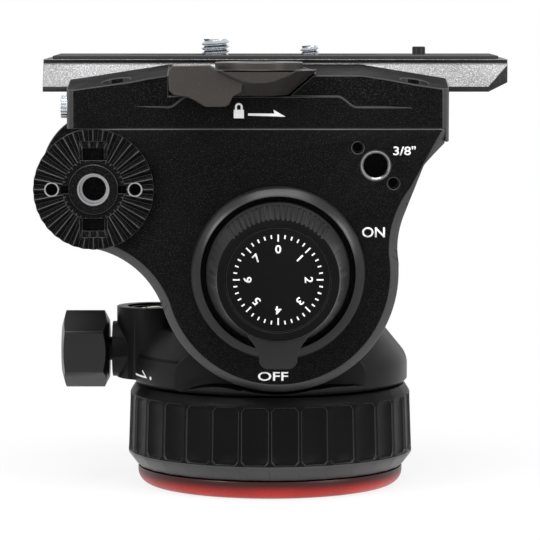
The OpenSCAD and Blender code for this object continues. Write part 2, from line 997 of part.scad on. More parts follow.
module counterbalance_pack() {
    color(brass)
        difference() {
            across(axis_pt, drum_in + gap, cheek_in - gap, cavity_r - gap);
            across(axis_pt, drum_in, cheek_in, tilt_boss_r + gap);
        }
}

// V groove along +Z that deepens outwards, in a face whose outside is -Y
module tooth_groove() {
    len = rosette_r - rosette_tooth_in;
    lean = atan((tooth_out_depth - tooth_in_depth) / len);
    up = 4 * tooth_out_depth;
    translate([0, tooth_in_depth, rosette_tooth_in])
        rotate([-lean, 0, 0])
            linear_extrude(len + 2 * over)
                polygon([[0, 0], [-up * tan(tooth_flank), -up], [up * tan(tooth_flank), -up]]);
}

module rosette() {
    face = cage_half + rosette_t;
    difference() {
        across(rosette_pt, cage_half, face, rosette_r);
        for (i = [0 : rosette_teeth - 1])
            translate([-rosette_x, -face, rosette_z])
                rotate([0, (i + 0.5) * 360 / rosette_teeth, 0])
                    tooth_groove();
        difference() {
            across(rosette_pt, face - rosette_sink, face + over, rosette_tooth_in + rosette_land);
            across(rosette_pt, face - 2 * rosette_sink, face + 2 * over, rosette_hub_r);
        }
        for (side = [-1, 1])
            translate([-rosette_x, -face, rosette_z + side * (rosette_tooth_in + window_out) / 2]) {
                cube([window_flat_w, 2 * window_sink, window_out - rosette_tooth_in], center = true);
                translate([0, 0, -side * (window_out - rosette_tooth_in - window_h) / 2])
                    cube([window_w, 2 * (rosette_t + over), window_h], center = true);
            }
        for (side = [-1, 1])
            translate([side * notch_at - rosette_x, -face, rosette_z])
                cube([notch_w, 2 * notch_depth, notch_h], center = true);
        across(rosette_pt, cage_half - over, face + over, rosette_bush_r + fit);
        for (side = [-1, 1])
            across(rosette_pt + [side * liner_pitch, 0], cage_half - over, face + over, liner_r + fit);
    }
}

module near_rosette() {
    color(black)
        rosette();
}

module far_rosette() {
    color(black)
        far_side()
            rosette();
}

module rosette_bushes() {
    out = cage_half + rosette_t - rosette_land;
    color(steel)
        both_sides()
            difference() {
                across(rosette_pt, rosette_bush_in, out, rosette_bush_r);
                across(rosette_pt, rosette_bush_in - over, out + over, rosette_neck_r);
                across(rosette_pt, rosette_bush_in + rosette_neck_len, out + over, rosette_bore_r);
            }
}

module rosette_liners() {
    out = cage_half + rosette_t - liner_sink;
    color(steel)
        both_sides()
            for (side = [-1, 1])
                difference() {
                    across(rosette_pt + [side * liner_pitch, 0], out - liner_len, out, liner_r);
                    across(rosette_pt + [side * liner_pitch, 0], out - liner_len - over, out + over,
                        liner_r - liner_wall);
                }
}

module port_bushes() {
    color(steel)
        both_sides()
            difference() {
                across([port_x, port_z], cage_half - port_bush_len, cage_half, port_bush_r);
                across([port_x, port_z], cage_half - port_bush_len - over, cage_half + over, thread_r);
                across([port_x, port_z], cage_half - (port_mouth_r - thread_r), cage_half,
                    thread_r, port_mouth_r);
            }
}

module dial_bezel() {
    color(black)
        difference() {
            across(axis_pt, cage_half, cage_half + bezel_h, bezel_r, bezel_r - bezel_taper);
            across(axis_pt, cage_half - over, cage_half + bezel_h + over,
                bezel_r - bezel_taper - bezel_wall);
        }
}

// Counterbalance dial

module tab_outline() {
    half = tab_w / 2 - tab_corner;
    wide = (tab_root_w - tab_w) / 2;
    flare = [for (i = [0 : round_steps])
        let (t = i / round_steps)
            [tab_w / 2 + wide * pow(1 - t, 2), -dial_rim_r - tab_flare * t]];
    polygon(concat(
        [[tab_root_w / 2, 0]],
        flare,
        [[tab_w / 2, tab_corner - tab_reach], [-tab_w / 2, tab_corner - tab_reach]],
        [for (i = [round_steps : -1 : 0]) [-flare[i][0], flare[i][1]]],
        [[-tab_root_w / 2, 0]]
    ));
    translate([-half, -tab_reach])
        square([2 * half, tab_reach]);
    for (side = [-1, 1])
        translate([side * half, tab_corner - tab_reach])
            circle(r = tab_corner);
}

module counterbalance_dial() {
    color(satin)
        difference() {
            union() {
                across(axis_pt, dial_in, dial_out, dial_r, dial_rim_r);
                slab(tab_in, tab_out)
                    translate(axis_pt)
                        tab_outline();
            }
            across(axis_pt, dial_out - dial_cap_depth, dial_out + over, dial_cap_r);
            across(axis_pt, dial_in - over, dial_in + dial_h / 2, shaft_r + fit);
            for (i = [0 : dial_groove_count - 1])
                translate([tilt_x, -dial_in, tilt_z])
                    rotate([90, (i - (dial_groove_count - 1) / 2) * dial_groove_step, 0])
                        dial_groove();
        }
}

// Groove down the dial's side, at the top of the dial and along its axis
module dial_groove() {
    lean = atan((dial_r - dial_rim_r) / dial_h);
    translate([0, dial_r, 0])
        rotate([lean, 0, 0])
            translate([0, 0, bezel_h + over])
                cylinder(h = dial_h, r = dial_groove_r);
}

module dial_cap() {
    color(black)
        across(axis_pt, dial_out - dial_cap_depth, dial_out - cap_sink, dial_cap_r - cap_gap);
}

module dial_shaft() {
    color(steel)
        across(axis_pt, cheek_in + gap, dial_in + dial_h / 2 - gap, shaft_r);
}

// Tilt drag knob and tilt lock, on the far side

module tilt_drag_knob() {
    color(satin)
        far_side()
            difference() {
                across(axis_pt, drag_in, drag_in + drag_h, drag_r);
                for (i = [0 : drag_flutes - 1])
                    across(axis_pt + drag_flute_at * compass((i + 0.5) / drag_flutes),
                        drag_in + drag_skirt, drag_in + drag_h + over, drag_flute_r);
                across(axis_pt, drag_in + drag_h - drag_cap_t, drag_in + drag_h + over, drag_cap_r);
                across(axis_pt, drag_in - over, drag_in + drag_h / 2, shaft_r + fit);
            }
}

module drag_knob_cap() {
    color(black)
        far_side()
            across(axis_pt, drag_in + drag_h - drag_cap_t, drag_in + drag_h - 2 * cap_gap,
                drag_cap_r - cap_gap);
}

module tilt_drag_shaft() {
    color(steel)
        far_side()
            across(axis_pt, cheek_in + gap, drag_in + drag_h / 2 - gap, shaft_r);
}

module tilt_lock_lever() {
    lead = [cos(tilt_lever_rise), sin(tilt_lever_rise)];
    side = [-lead[1], lead[0]];
    tip = tilt_lever_pt + (tilt_lever_len - tilt_lever_end_r) * lead;
    color(black)
        far_side()
            difference() {
                union() {
                    across(tilt_lever_pt, tilt_lever_in, tilt_lever_in + tilt_lever_t, tilt_lever_hub_r);
                    slab(tilt_lever_in + tilt_lever_wall, tilt_lever_in + tilt_lever_t)
                        polygon([
                            tilt_lever_pt + tilt_lever_hub_r * side,
                            tilt_lever_pt - tilt_lever_hub_r * side,
                            tip - tilt_lever_end_r * side,
                            tip + tilt_lever_end_r * side
                        ]);
                    across(tip, tilt_lever_in + tilt_lever_wall, tilt_lever_in + tilt_lever_t,
                        tilt_lever_end_r);
                }
                across(tilt_lever_pt, tilt_lever_in - over,
                    tilt_lever_in + tilt_lever_t - tilt_lever_wall, tilt_stud_r + fit);
            }
}

module tilt_lock_stud() {
    color(steel)
        far_side()
            across(tilt_lever_pt, cheek_in + tilt_lever_wall + gap,
                tilt_lever_in + tilt_lever_t - tilt_lever_wall - gap, tilt_stud_r);
}

// Plate clamp

// Half of the clamp's section, in Y and Z on the near side
module clamp_section() {
    inner = plate_half + gap;
    inner_top = plate_top_half + gap;
    polygon([
        [0, underside_z],
        [-cheek_in + over, underside_z],
        [-cheek_in + over, seam_z],
        [-cage_half, seam_z],
        [-cage_half, rail_top],
        [-inner_top, rail_top],
        [-inner_top, plate_z + plate_slope_top],
        [-inner, plate_z + plate_lip],
        [-inner, floor_z],
        [0, floor_z]
    ]);
}

// Turns a Y-Z outline into a bar along X
module bar(x0, x1) {
    translate([x0, 0, 0])
        rotate([90, 0, 90])
            linear_extrude(x1 - x0)
                children();
}

// Cut that lets a rail's top fall from x over len towards one end and the outer side
module rail_fall_cut(x, dir, len, fall) {
    reach = 2 * len;
    translate([x, -plate_top_half, rail_top])
        rotate([atan(side_fall / (cage_half - plate_top_half)), 0, 0])
            rotate([0, dir * atan(fall / len), 0])
                translate([dir > 0 ? -over : -reach, -3 * cage_half, 0])
                    cube([reach + over, 6 * cage_half, 4 * side_fall]);
}

module rail_tops_cut() {
    intersection() {
        union() {
            rail_fall_cut(bay_rear, -1, clamp_rear + bay_rear, rear_fall);
            rail_fall_cut(bay_rear, 1, fall_front - bay_rear, 0);
            rail_fall_cut(fall_front, 1, clamp_front - fall_front, front_fall);
        }
        box(-2 * clamp_rear, 2 * clamp_front, -2 * cage_half, 0, seam_z, 2 * seam_z);
    }
}

module clamp_corner_cut(x, dir) {
    difference() {
        box(x - (dir < 0 ? over : clamp_corner), x + (dir < 0 ? clamp_corner : over),
            -cage_half - over, -cage_half + clamp_corner, seam_z - 2 * front_lip_drop, rail_top + over);
        upright(x - dir * clamp_corner, -cage_half + clamp_corner,
            seam_z - 3 * front_lip_drop, rail_top + 2 * over, clamp_corner);
    }
}

module clamp_screw_places() {
    both_sides()
        for (x = [clamp_screw_rear, clamp_screw_front])
            translate([x, -clamp_screw_y, 0])
                children();
}

// Hollow in the outer face beside the lever, which runs out towards its end
module finger_cut(x_start, x_high, x_low, x_end) {
    deep = finger_depth - cage_half;
    intersection() {
        slab(cage_half - 2 * finger_depth, cage_half + over)
            polygon(concat(
                [[x_start, bay_z]],
                [for (i = [0 : 2 * round_steps])
                    let (t = i / (2 * round_steps))
                        [x_high + (x_low - x_high) * t,
                            finger_z + (bay_z - finger_z) * pow(cos(90 * t), 2)]],
                [[x_end, finger_z], [x_end, 2 * seam_z], [x_start, 2 * seam_z]]
            ));
        translate([0, 0, finger_z - over])
            linear_extrude(seam_z)
                polygon([[x_start, -2 * cage_half], [x_start, deep], [(x_low + x_end) / 2, deep],
                    [x_end, -cage_half], [x_end, -2 * cage_half]]);
    }
}

module clamp_body() {
    color(black)
        difference() {
            union() {
                both_sides()
                    bar(-clamp_rear, clamp_front)
                        clamp_section();
                both_sides()
                    box(lip_x + gap / 3, clamp_front, -cage_half, -cheek_in,
                        seam_z - front_lip_drop, seam_z + over);
            }
            both_sides() {
                rail_tops_cut();
                clamp_corner_cut(-clamp_rear, -1);
                clamp_corner_cut(clamp_front, 1);
            }
            box(bay_rear, lever_x, -2 * cage_half, -plate_top_half + over, bay_z, 2 * seam_z);
            box(bay_rear, bay_front, -jaw_out - 2 * gap, -plate_top_half + over, bay_z, jaw_top + 2 * gap);
            upright(lever_x, -lever_y, bay_z, rail_top + over,
                nest_r + nest_slope * (bay_z - lever_z), nest_r + nest_slope * (rail_top + over - lever_z));
            finger_cut(lever_x, bay_rear + finger_rise, bay_rear, finger_rear);
            finger_cut(lever_x, bay_front + finger_lead, bay_front + finger_lead + finger_rise,
                finger_front);
            box(-2 * clamp_rear, notch_x, -notch_half, notch_half, seam_z, floor_z + over);
            clamp_screw_places() {
                upright(0, 0, seam_z - over, rail_top + over, clamp_screw_r + fit);
                upright(0, 0, clamp_head_z, rail_top + over, clamp_head_r + cap_gap);
            }
            upright(lever_x, -lever_y, lever_bolt_foot, bay_z + over, lever_foot_r + fit);
            along(-clamp_rear - over, -clamp_rear + button_len, -button_y, button_z, button_r + run);
        }
}

module clamp_screws() {
    color(steel)
        clamp_screw_places()
            difference() {
                union() {
                    upright(0, 0, clamp_head_z, clamp_head_z + clamp_head_h, clamp_head_r);
                    upright(0, 0, seam_z - clamp_screw_grip + gap, clamp_head_z + over, clamp_screw_r);
                }
                upright(0, 0, clamp_head_z + clamp_head_h - clamp_hex_depth,
                    clamp_head_z + clamp_head_h + over, clamp_hex_r, $fn = 6);
            }
}

module lever_bolt() {
    color(steel) {
        upright(lever_x, -lever_y, lever_bolt_foot + gap, lever_top - gap, lever_foot_r);
        upright(lever_x, -lever_y, bay_z, lever_top - gap, lever_bolt_r);
        upright(lever_x, -lever_y, lever_top - lever_bolt_head_h, lever_top - gap, lever_bolt_head_r);
    }
}

module lever_grip() {
    slab(grip_in, grip_out)
        translate([lever_x, lever_top])
            polygon(grip_outline);
}

module plate_lock_lever() {
    color(pewter)
        difference() {
            union() {
                intersection() {
                    upright(lever_x, -lever_y, lever_z, lever_flare_z, lever_root_r, lever_flare_r,
                        $fn = lever_sides);
                    box(lever_x - 2 * lever_flare_r, lever_x + 2 * lever_flare_r,
                        -lever_front_y, 0, 0, 2 * seam_z);
                }
                upright(lever_x, -lever_y, lever_flare_z - over, lever_top, lever_disc_r);
                lever_grip();
            }
            upright(lever_x, -lever_y, lever_z - over, lever_top + over, lever_bolt_r + run);
            upright(lever_x, -lever_y, lever_top - lever_bolt_head_h - gap, lever_top + over,
                lever_bolt_head_r + gap);
        }
}

module clamp_jaw() {
    inner = plate_half + jaw_open;
    slope = (plate_half - plate_top_half) / (plate_slope_top - plate_lip);
    color(black)
        difference() {
            bar(bay_rear + jaw_end_gap, bay_front - jaw_end_gap)
                polygon([
                    [-inner, bay_z + gap],
                    [-jaw_out, bay_z + gap],
                    [-jaw_out, jaw_top],
                    [-inner + slope * (jaw_top - plate_z - plate_lip), jaw_top],
                    [-inner, plate_z + plate_lip]
                ]);
            upright(lever_x, -lever_y, lever_z - over, lever_flare_z,
                lever_root_r + jaw_travel - jaw_nest / 2, lever_flare_r + 2 * over);
        }
}

module release_button() {
    color(steel)
        difference() {
            along(-clamp_rear - button_up, -clamp_rear + button_len - button_travel - gap,
                -button_y, button_z, button_r);
            for (i = [0 : button_flutes - 1])
                translate([-clamp_rear - button_up - over, -button_y, button_z])
                    rotate([i * 360 / button_flutes, 0, 0])
                        translate([0, 0, button_r + button_flute_r / 4])
                            rotate([0, 90, 0])
                                cylinder(h = button_up + over, r = button_flute_r, $fn = button_flutes);
        }
}

// Sliding plate

module plate_section() {
    polygon([
        [-plate_half, plate_z],
        [plate_half, plate_z],
        [plate_half, plate_z + plate_lip],
        [plate_top_half, plate_z + plate_slope_top],
        [plate_top_half, plate_top_z],
        [-plate_top_half, plate_top_z],
        [-plate_top_half, plate_z + plate_slope_top],
        [-plate_half, plate_z + plate_lip]
    ]);
}

// Slot with round ends, for a screw of width w
module slot(x0, x1, w, z0, z1) {
    box(x0 + w / 2, x1 - w / 2, -w / 2, w / 2, z0, z1);
    for (x = [x0 + w / 2, x1 - w / 2])
        upright(x, 0, z0, z1, w / 2);
}

// Lead-in at one end: the lower edge and the two upright corners are cut back
module lead_in_cut(dir) {
    translate([plate_x + dir * plate_len / 2, 0, plate_z])
        mirror([dir > 0 ? 0 : 1, 0, 0]) {
            slab(-plate_half - over, plate_half + over)
                polygon([[-lead_in, -over], [-lead_in, 0], [0, lead_in_rise],
                    [over, lead_in_rise], [over, -over]]);
            both_sides()
                linear_extrude(plate_h + over)
                    polygon([
                        [-lead_in, -plate_half - over], [-lead_in, -plate_half],
                        [0, lead_in_side - plate_half], [over, lead_in_side - plate_half],
                        [over, -plate_half - over]
                    ]);
        }
}

module sliding_plate() {
    color(black)
        difference() {
            bar(plate_x - plate_len / 2, plate_x + plate_len / 2)
                plate_section();
            slot(slot_rear, slot_front, slot_w, plate_z, plate_top_z + over);
            box(track_rear, track_front, -track_half, track_half, plate_z - over, plate_z + track_h);
            upright(pin_x, 0, plate_z, plate_top_z + over, pin_stem_r + run);
            upright(pin_x, 0, plate_z - over, plate_z + pin_pocket_h, pin_pocket_r);
            lead_in_cut(1);
            both_sides()
                box(plate_x - plate_len, plate_x + plate_len,
                    -2 * plate_top_half, groove_in - plate_top_half,
                    plate_z + plate_slope_top + groove_edge, plate_top_z - 2 * groove_edge);
        }
}

module plate_pad() {
    color(rubber)
        difference() {
            box(plate_x - plate_len / 2 + pad_end, plate_x + plate_len / 2 - pad_end,
                -plate_top_half + pad_side, plate_top_half - pad_side, plate_top_z, pad_top_z);
            slot(slot_rear, slot_front, slot_w, plate_top_z - over, pad_top_z + over);
            upright(pin_x, 0, plate_top_z - over, pad_top_z + over, pin_stem_r + gap);
        }
}

module pin_plug() {
    color(steel)
        upright(pin_x, 0, plate_z, plate_z + pin_plug_t, pin_pocket_r - fit);
}

module carriage(x, r) {
    color(steel)
        difference() {
            box(x - carriage_len / 2, x + carriage_len / 2, -track_half + gap, track_half - gap,
                carriage_z, carriage_z + carriage_t);
            upright(x, 0, carriage_z - over, carriage_z + carriage_t + over, r - screw_neck + run);
        }
}

module camera_screw(x, r, up) {
    head_z = carriage_z - gap - screw_head_t;
    thread_z = pad_top_z + screw_lead;
    top = pad_top_z + up;
    color(steel)
        difference() {
            translate([x, 0, 0])
                rotate_extrude()
                    polygon([
                        [0, head_z],
                        [screw_head_r, head_z],
                        [screw_head_r, head_z + screw_head_t],
                        [r - screw_neck, head_z + screw_head_t],
                        [r - screw_neck, thread_z],
                        [r, thread_z],
                        [r, top - screw_point],
                        [r - screw_point, top],
                        [0, top]
                    ]);
            box(x - screw_head_r - over, x + screw_head_r + over, -screw_slot_w / 2, screw_slot_w / 2,
                head_z - over, head_z + screw_slot_depth);
        }
}

module rear_carriage() {
    carriage(big_screw_x, big_screw_r);
}

module big_camera_screw() {
    camera_screw(big_screw_x, big_screw_r, big_screw_up);
}

module front_carriage() {
    carriage(small_screw_x, small_screw_r);
}

module small_camera_screw() {
    camera_screw(small_screw_x, small_screw_r, small_screw_up);
}

module video_pin() {
    flange_top_z = plate_z + pin_pocket_h - gap;
    color(black) {
        upright(pin_x, 0, flange_top_z - pin_flange_t, pad_top_z + pin_up, pin_r);
        upright(pin_x, 0, flange_top_z - pin_flange_t, pad_top_z, pin_stem_r);
        upright(pin_x, 0, flange_top_z - pin_flange_t, flange_top_z, pin_flange_r);
    }
}

flat_base();
base_bush();
pan_spindle();
base_screws();
pan_rotor();
pan_housing();
pan_cover();
cover_screws();
pan_bearings();
pan_brake_shoe();
level_bezel();
level_vial();
tilt_axle();
tilt_rotor();
pan_drag_ring();
pan_lock_knob();
pan_lock_stud();
near_cheek();
far_cheek();
near_rosette();
far_rosette();
rosette_bushes();
rosette_liners();
near_drum_cover();
far_drum_cover();
drum_screws();
tilt_bearings();
counterbalance_pack();
dial_bezel();
port_bushes();
clamp_body();
clamp_screws();
lever_bolt();
counterbalance_dial();
dial_cap();
dial_shaft();
tilt_drag_knob();
drag_knob_cap();
tilt_drag_shaft();
tilt_lock_lever();
tilt_lock_stud();
plate_lock_lever();
clamp_jaw();
release_button();
sliding_plate();
plate_pad();
pin_plug();
rear_carriage();
big_camera_screw();
front_carriage();
small_camera_screw();
video_pin();
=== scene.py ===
"""Dresses a packed video fluid head: finishes, eased edges, threads, marks, light and camera."""

import json
import logging
import math
from dataclasses import dataclass, field
from enum import Enum
from typing import Callable, Iterable, Optional, Sequence

import bpy
from mathutils import Matrix, Vector

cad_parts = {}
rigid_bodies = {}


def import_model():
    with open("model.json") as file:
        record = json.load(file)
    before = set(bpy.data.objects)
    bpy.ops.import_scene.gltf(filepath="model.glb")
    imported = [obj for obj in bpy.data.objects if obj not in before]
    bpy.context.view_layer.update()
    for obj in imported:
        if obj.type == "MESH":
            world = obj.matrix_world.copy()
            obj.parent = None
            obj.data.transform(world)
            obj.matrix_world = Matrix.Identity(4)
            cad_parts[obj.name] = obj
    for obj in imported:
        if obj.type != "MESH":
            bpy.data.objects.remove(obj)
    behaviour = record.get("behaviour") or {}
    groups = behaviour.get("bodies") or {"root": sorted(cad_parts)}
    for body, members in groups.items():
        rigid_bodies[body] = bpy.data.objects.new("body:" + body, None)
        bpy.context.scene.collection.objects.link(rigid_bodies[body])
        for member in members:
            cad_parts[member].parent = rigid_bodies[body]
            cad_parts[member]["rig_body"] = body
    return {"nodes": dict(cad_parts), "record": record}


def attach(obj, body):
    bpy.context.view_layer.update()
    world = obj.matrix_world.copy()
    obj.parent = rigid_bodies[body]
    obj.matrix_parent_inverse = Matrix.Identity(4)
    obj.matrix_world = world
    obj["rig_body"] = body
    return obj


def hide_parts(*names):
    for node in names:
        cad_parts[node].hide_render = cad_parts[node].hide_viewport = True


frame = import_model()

logging.basicConfig(level=logging.INFO, format="%(message)s")
log = logging.getLogger("fluid_head")

MM = 0.001
STEEP = 40.0  # degrees up to which a turned piece is shaded smooth
CHEEK_HALF = 46.0  # mm from the middle to a cheek's outer face
FACING = 0.9  # part of a normal along an axis from which a face looks that way
ALONG = 0.2  # part of a normal along an axis up to which a face lies along that axis
DIAL_AXIS = (2.6, 75.0)  # X and Z of the dial's axis in mm
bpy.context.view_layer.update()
Point = tuple[float, float, float]
Colour = tuple[float, float, float]
FaceTest = Callable[[Vector, Vector], bool]
Piece = bpy.types.Object
Node = bpy.types.Node
Socket = bpy.types.NodeSocket
Sockets = bpy.types.bpy_prop_collection
Tree = bpy.types.NodeTree


# Hand tools


class Bench:
    """Modelling tools that work on one piece at a time."""

    @staticmethod
    def clear() -> None:
        """Leaves edit mode and deselects everything."""
        if bpy.context.object and bpy.context.object.mode != "OBJECT":
            bpy.ops.object.mode_set(mode="OBJECT")
        bpy.ops.object.select_all(action="DESELECT")

    @staticmethod
    def take(piece: Piece) -> Piece:
        """Makes one piece the only selected and active one."""
        Bench.clear()
        piece.select_set(True)
        bpy.context.view_layer.objects.active = piece
        return piece

    @staticmethod
    def name(piece: Piece, name: str) -> Piece:
        """Names a piece and its mesh alike."""
        piece.name = name
        piece.data.name = name
        return piece

    @staticmethod
    def settle(piece: Piece) -> Piece:
        """Puts a piece's place, turn and scale into its mesh."""
        Bench.take(piece)
        bpy.ops.object.transform_apply(location=True, rotation=True, scale=True)
        return piece

    @staticmethod
    def cylinder(name: str, radius: float, depth: float, at: Point, sides: int = 64,
                 turn: Point = (0.0, 0.0, 0.0)) -> Piece:
        """Adds a cylinder.

        Args:
            name: Name of the piece.
            radius: Radius in mm.
            depth: Length in mm.
            at: Centre in the frame, in mm.
            sides: Number of sides.
            turn: Turn about X, Y and Z in radians.

        Returns:
            The new piece, with its place in its mesh.
        """
        Bench.clear()
        bpy.ops.mesh.primitive_cylinder_add(vertices=sides, radius=radius * MM, depth=depth * MM,
                                            location=Vector(at) * MM, rotation=turn)
        return Bench.settle(Bench.name(bpy.context.object, name))

    @staticmethod
    def pick(piece: Piece, test: FaceTest, area: float = 0.0) -> None:
        """Selects the faces that pass a test and enters edit mode.

        Args:
            piece: The piece to work on.
            test: Takes a face's centre and normal, and says whether it is picked.
            area: Size in square mm from which a face is picked.
        """
        Bench.take(piece)
        bpy.ops.object.mode_set(mode="EDIT")
        bpy.ops.mesh.select_mode(type="FACE")
        bpy.ops.mesh.select_all(action="DESELECT")
        bpy.ops.object.mode_set(mode="OBJECT")
        for face in piece.data.polygons:
            face.select = face.area > area * MM * MM and test(face.center, face.normal)
        bpy.ops.object.mode_set(mode="EDIT")

    @staticmethod
    def open(piece: Piece) -> None:
        """Enters edit mode on a piece with everything selected."""
        Bench.take(piece)
        bpy.ops.object.mode_set(mode="EDIT")
        bpy.ops.mesh.select_all(action="SELECT")

    @staticmethod
    def outline(points: Sequence[Point], closed: bool) -> Piece:
        """Joins points in mm by edges, in order, and back to the first one if closed."""
        Bench.clear()
        bpy.ops.mesh.primitive_plane_add(size=MM)
        piece = bpy.context.object
        Bench.open(piece)
        bpy.ops.mesh.delete(type="VERT")
        Bench.clear()
        piece.data.vertices.add(len(points))
        for vertex, point in zip(piece.data.vertices, points):
            vertex.co = Vector(point) * MM
        piece.data.edges.add(len(points) if closed else len(points) - 1)
        for index, edge in enumerate(piece.data.edges):
            edge.vertices = (index, (index + 1) % len(points))
        return piece

    @staticmethod
    def face_out(piece: Piece, near: Optional[float] = None) -> None:
        """Turns all faces outwards, after welding corners that lie near each other.

        Args:
            piece: The piece to work on.
            near: Distance in metres at which corners are welded, or None for no weld.
        """
        Bench.open(piece)
        if near is not None:
            bpy.ops.mesh.remove_doubles(threshold=near)
        bpy.ops.mesh.normals_make_consistent(inside=False)
        Bench.clear()

    @staticmethod
    def ring(name: str, columns: int, rows: int, place: Callable[[int, int], Vector]) -> Piece:
        """Shapes a torus into a ring, corner by corner.

        Args:
            name: Name of the piece.
            columns: Number of corners round the ring.
            rows: Number of corners round its section.
            place: Takes a column and a row, and gives the place of that corner in mm.

        Returns:
            The ring, with its faces turned outwards.
        """
        Bench.clear()
        bpy.ops.mesh.primitive_torus_add(major_segments=columns, minor_segments=rows)
        piece = Bench.name(bpy.context.object, name)
        for index, vertex in enumerate(piece.data.vertices):
            vertex.co = place(*divmod(index, rows)) * MM
        Bench.face_out(piece)
        return piece

    @staticmethod
    def done(piece: Piece, smooth: float = 30.0) -> Piece:
        """Leaves edit mode and shades the piece smooth up to an angle in degrees."""
        Bench.take(piece)
        bpy.ops.object.shade_smooth_by_angle(angle=math.radians(smooth), keep_sharp_edges=False)
        return piece

    @staticmethod
    def mend(piece: Piece, flat: float = 0.3, near: float = 2e-6) -> None:
        """Welds a mesh of loose triangles and joins its flat faces.

        Args:
            piece: The piece to mend.
            flat: Angle in degrees up to which neighbouring faces become one.
            near: Distance in metres at which corners are welded.
        """
        Bench.take(piece)
        bpy.ops.mesh.customdata_custom_splitnormals_clear()
        Bench.open(piece)
        bpy.ops.mesh.remove_doubles(threshold=near)
        bpy.ops.mesh.dissolve_limited(angle_limit=math.radians(flat))
        Bench.clear()

    @staticmethod
    def modify(piece: Piece, kind: str, **settings: object) -> None:
        """Adds one modifier with its settings and applies it."""
        Bench.take(piece)
        modifier = piece.modifiers.new(kind.title(), kind)
        for key, value in settings.items():
            setattr(modifier, key, value)
        bpy.ops.object.modifier_apply(modifier=modifier.name)

    @staticmethod
    def join(pieces: Sequence[Piece], name: str) -> Piece:
        """Joins several pieces into one with a name."""
        Bench.take(pieces[0])
        for piece in pieces:
            piece.select_set(True)
        bpy.ops.object.join()
        return Bench.name(bpy.context.object, name)

    @staticmethod
    def copy(piece: Piece, name: str) -> Piece:
        """Copies a piece together with its mesh."""
        twin = bpy.data.objects.new(name, piece.data.copy())
        twin.data.name = name
        bpy.context.scene.collection.objects.link(twin)
        return twin


def fit(piece: Piece, body: str, replaces: Iterable[str] = ()) -> Piece:
    """Puts a finished piece on its body.

    Args:
        piece: The piece, with its place in its mesh.
        body: The body that it moves with.
        replaces: Nodes that it stands for.

    Returns:
        The piece.
    """
    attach(piece, body)
    names = list(replaces)
    if names:
        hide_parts(*names)
    log.info("%s rides on %s", piece.name, body)
    return piece


def body_of(node: str) -> str:
    """Name of the body that a node rides on."""
    return frame["nodes"][node]["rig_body"]


def slot_of(node: str) -> str:
    """Name of the material slot that the record gives a node."""
    for part in frame["record"]["subparts"]:
        if part["node"] == node:
            return part["material_slot"]
    return frame["record"]["materials"][0]["slot"]


def stand_in(piece: Piece, node: str) -> Piece:
    """Puts a finished piece in the place of one node."""
    return fit(piece, body_of(node), [node])


# Finishes


class Wires:
    """Adds nodes to a tree and links them."""

    def __init__(self, tree: Tree) -> None:
        """Holds the tree."""
        self.tree = tree

    def add(self, kind: str, **values: object) -> Node:
        """Adds a node, sets its properties, and fills or links its inputs.

        Args:
            kind: Blender's name of the node type.
            values: Property values, or inputs when the name starts with in_ and an index.

        Returns:
            The node.
        """
        node = self.tree.nodes.new(kind)
        for key, value in values.items():
            if not key.startswith("in_"):
                setattr(node, key, value)
        for key, value in values.items():
            if key.startswith("in_"):
                self.feed(node.inputs[int(key[3:])], value)
        return node

    def feed(self, socket: Socket, value: object) -> None:
        """Links a socket to another one, or sets its value."""
        if isinstance(value, Socket):
            self.tree.links.new(value, socket)
        else:
            socket.default_value = value

    def fill(self, node: Node, values: dict[str, object]) -> Node:
        """Fills or links the named inputs of a node."""
        for label, value in values.items():
            self.feed(node.inputs[label], value)
        return node

    def effect(self, group: Tree, values: dict[str, object]) -> Node:
        """Adds a node group, and fills or links its named inputs."""
        return self.fill(self.add("ShaderNodeGroup", node_tree=group), values)

    def place(self) -> Socket:
        """Place on the surface, in the piece's own coordinates."""
        return self.add("ShaderNodeTexCoord").outputs["Object"]

    def ramp(self, value: Socket, low: float, high: float) -> Socket:
        """Maps a value from low to high onto 0 to 1, with soft ends."""
        node = self.add("ShaderNodeMapRange", interpolation_type="SMOOTHSTEP", clamp=True,
                        in_0=value, in_1=low, in_2=high, in_3=0.0, in_4=1.0)
        return node.outputs[0]

    def blend(self, mask: object, first: object, second: object) -> Socket:
        """Mixes two colours by a mask."""
        node = self.add("ShaderNodeMix", data_type="RGBA", in_0=mask, in_6=first, in_7=second)
        return node.outputs[2]

    def noise(self, where: object, scale: object, detail: float = 2.0) -> Socket:
        """Noise value at a place."""
        node = self.add("ShaderNodeTexNoise", in_0=where, in_2=scale, in_3=detail)
        return node.outputs[0]

    def math(self, what: str, first: object, second: object = 0.0) -> Socket:
        """One sum on one or two values."""
        return self.add("ShaderNodeMath", operation=what, in_0=first, in_1=second).outputs[0]


def new_group(name: str, inputs: Sequence[tuple[str, str, object]],
              outputs: Sequence[tuple[str, str]]) -> tuple[Wires, Sockets, Sockets]:
    """Makes a shader node group with named sockets.

    Args:
        name: Name of the group.
        inputs: Name, socket type and default value of each input.
        outputs: Name and socket type of each output.

    Returns:
        The group's wires, the sockets that bring its inputs, and those that take its outputs.
    """
    group = bpy.data.node_groups.new(name, "ShaderNodeTree")
    for label, kind, value in inputs:
        group.interface.new_socket(label, in_out="INPUT", socket_type=kind).default_value = value
    for label, kind in outputs:
        group.interface.new_socket(label, in_out="OUTPUT", socket_type=kind)
    start, end = group.nodes.new("NodeGroupInput"), group.nodes.new("NodeGroupOutput")
    return Wires(group), start.outputs, end.inputs


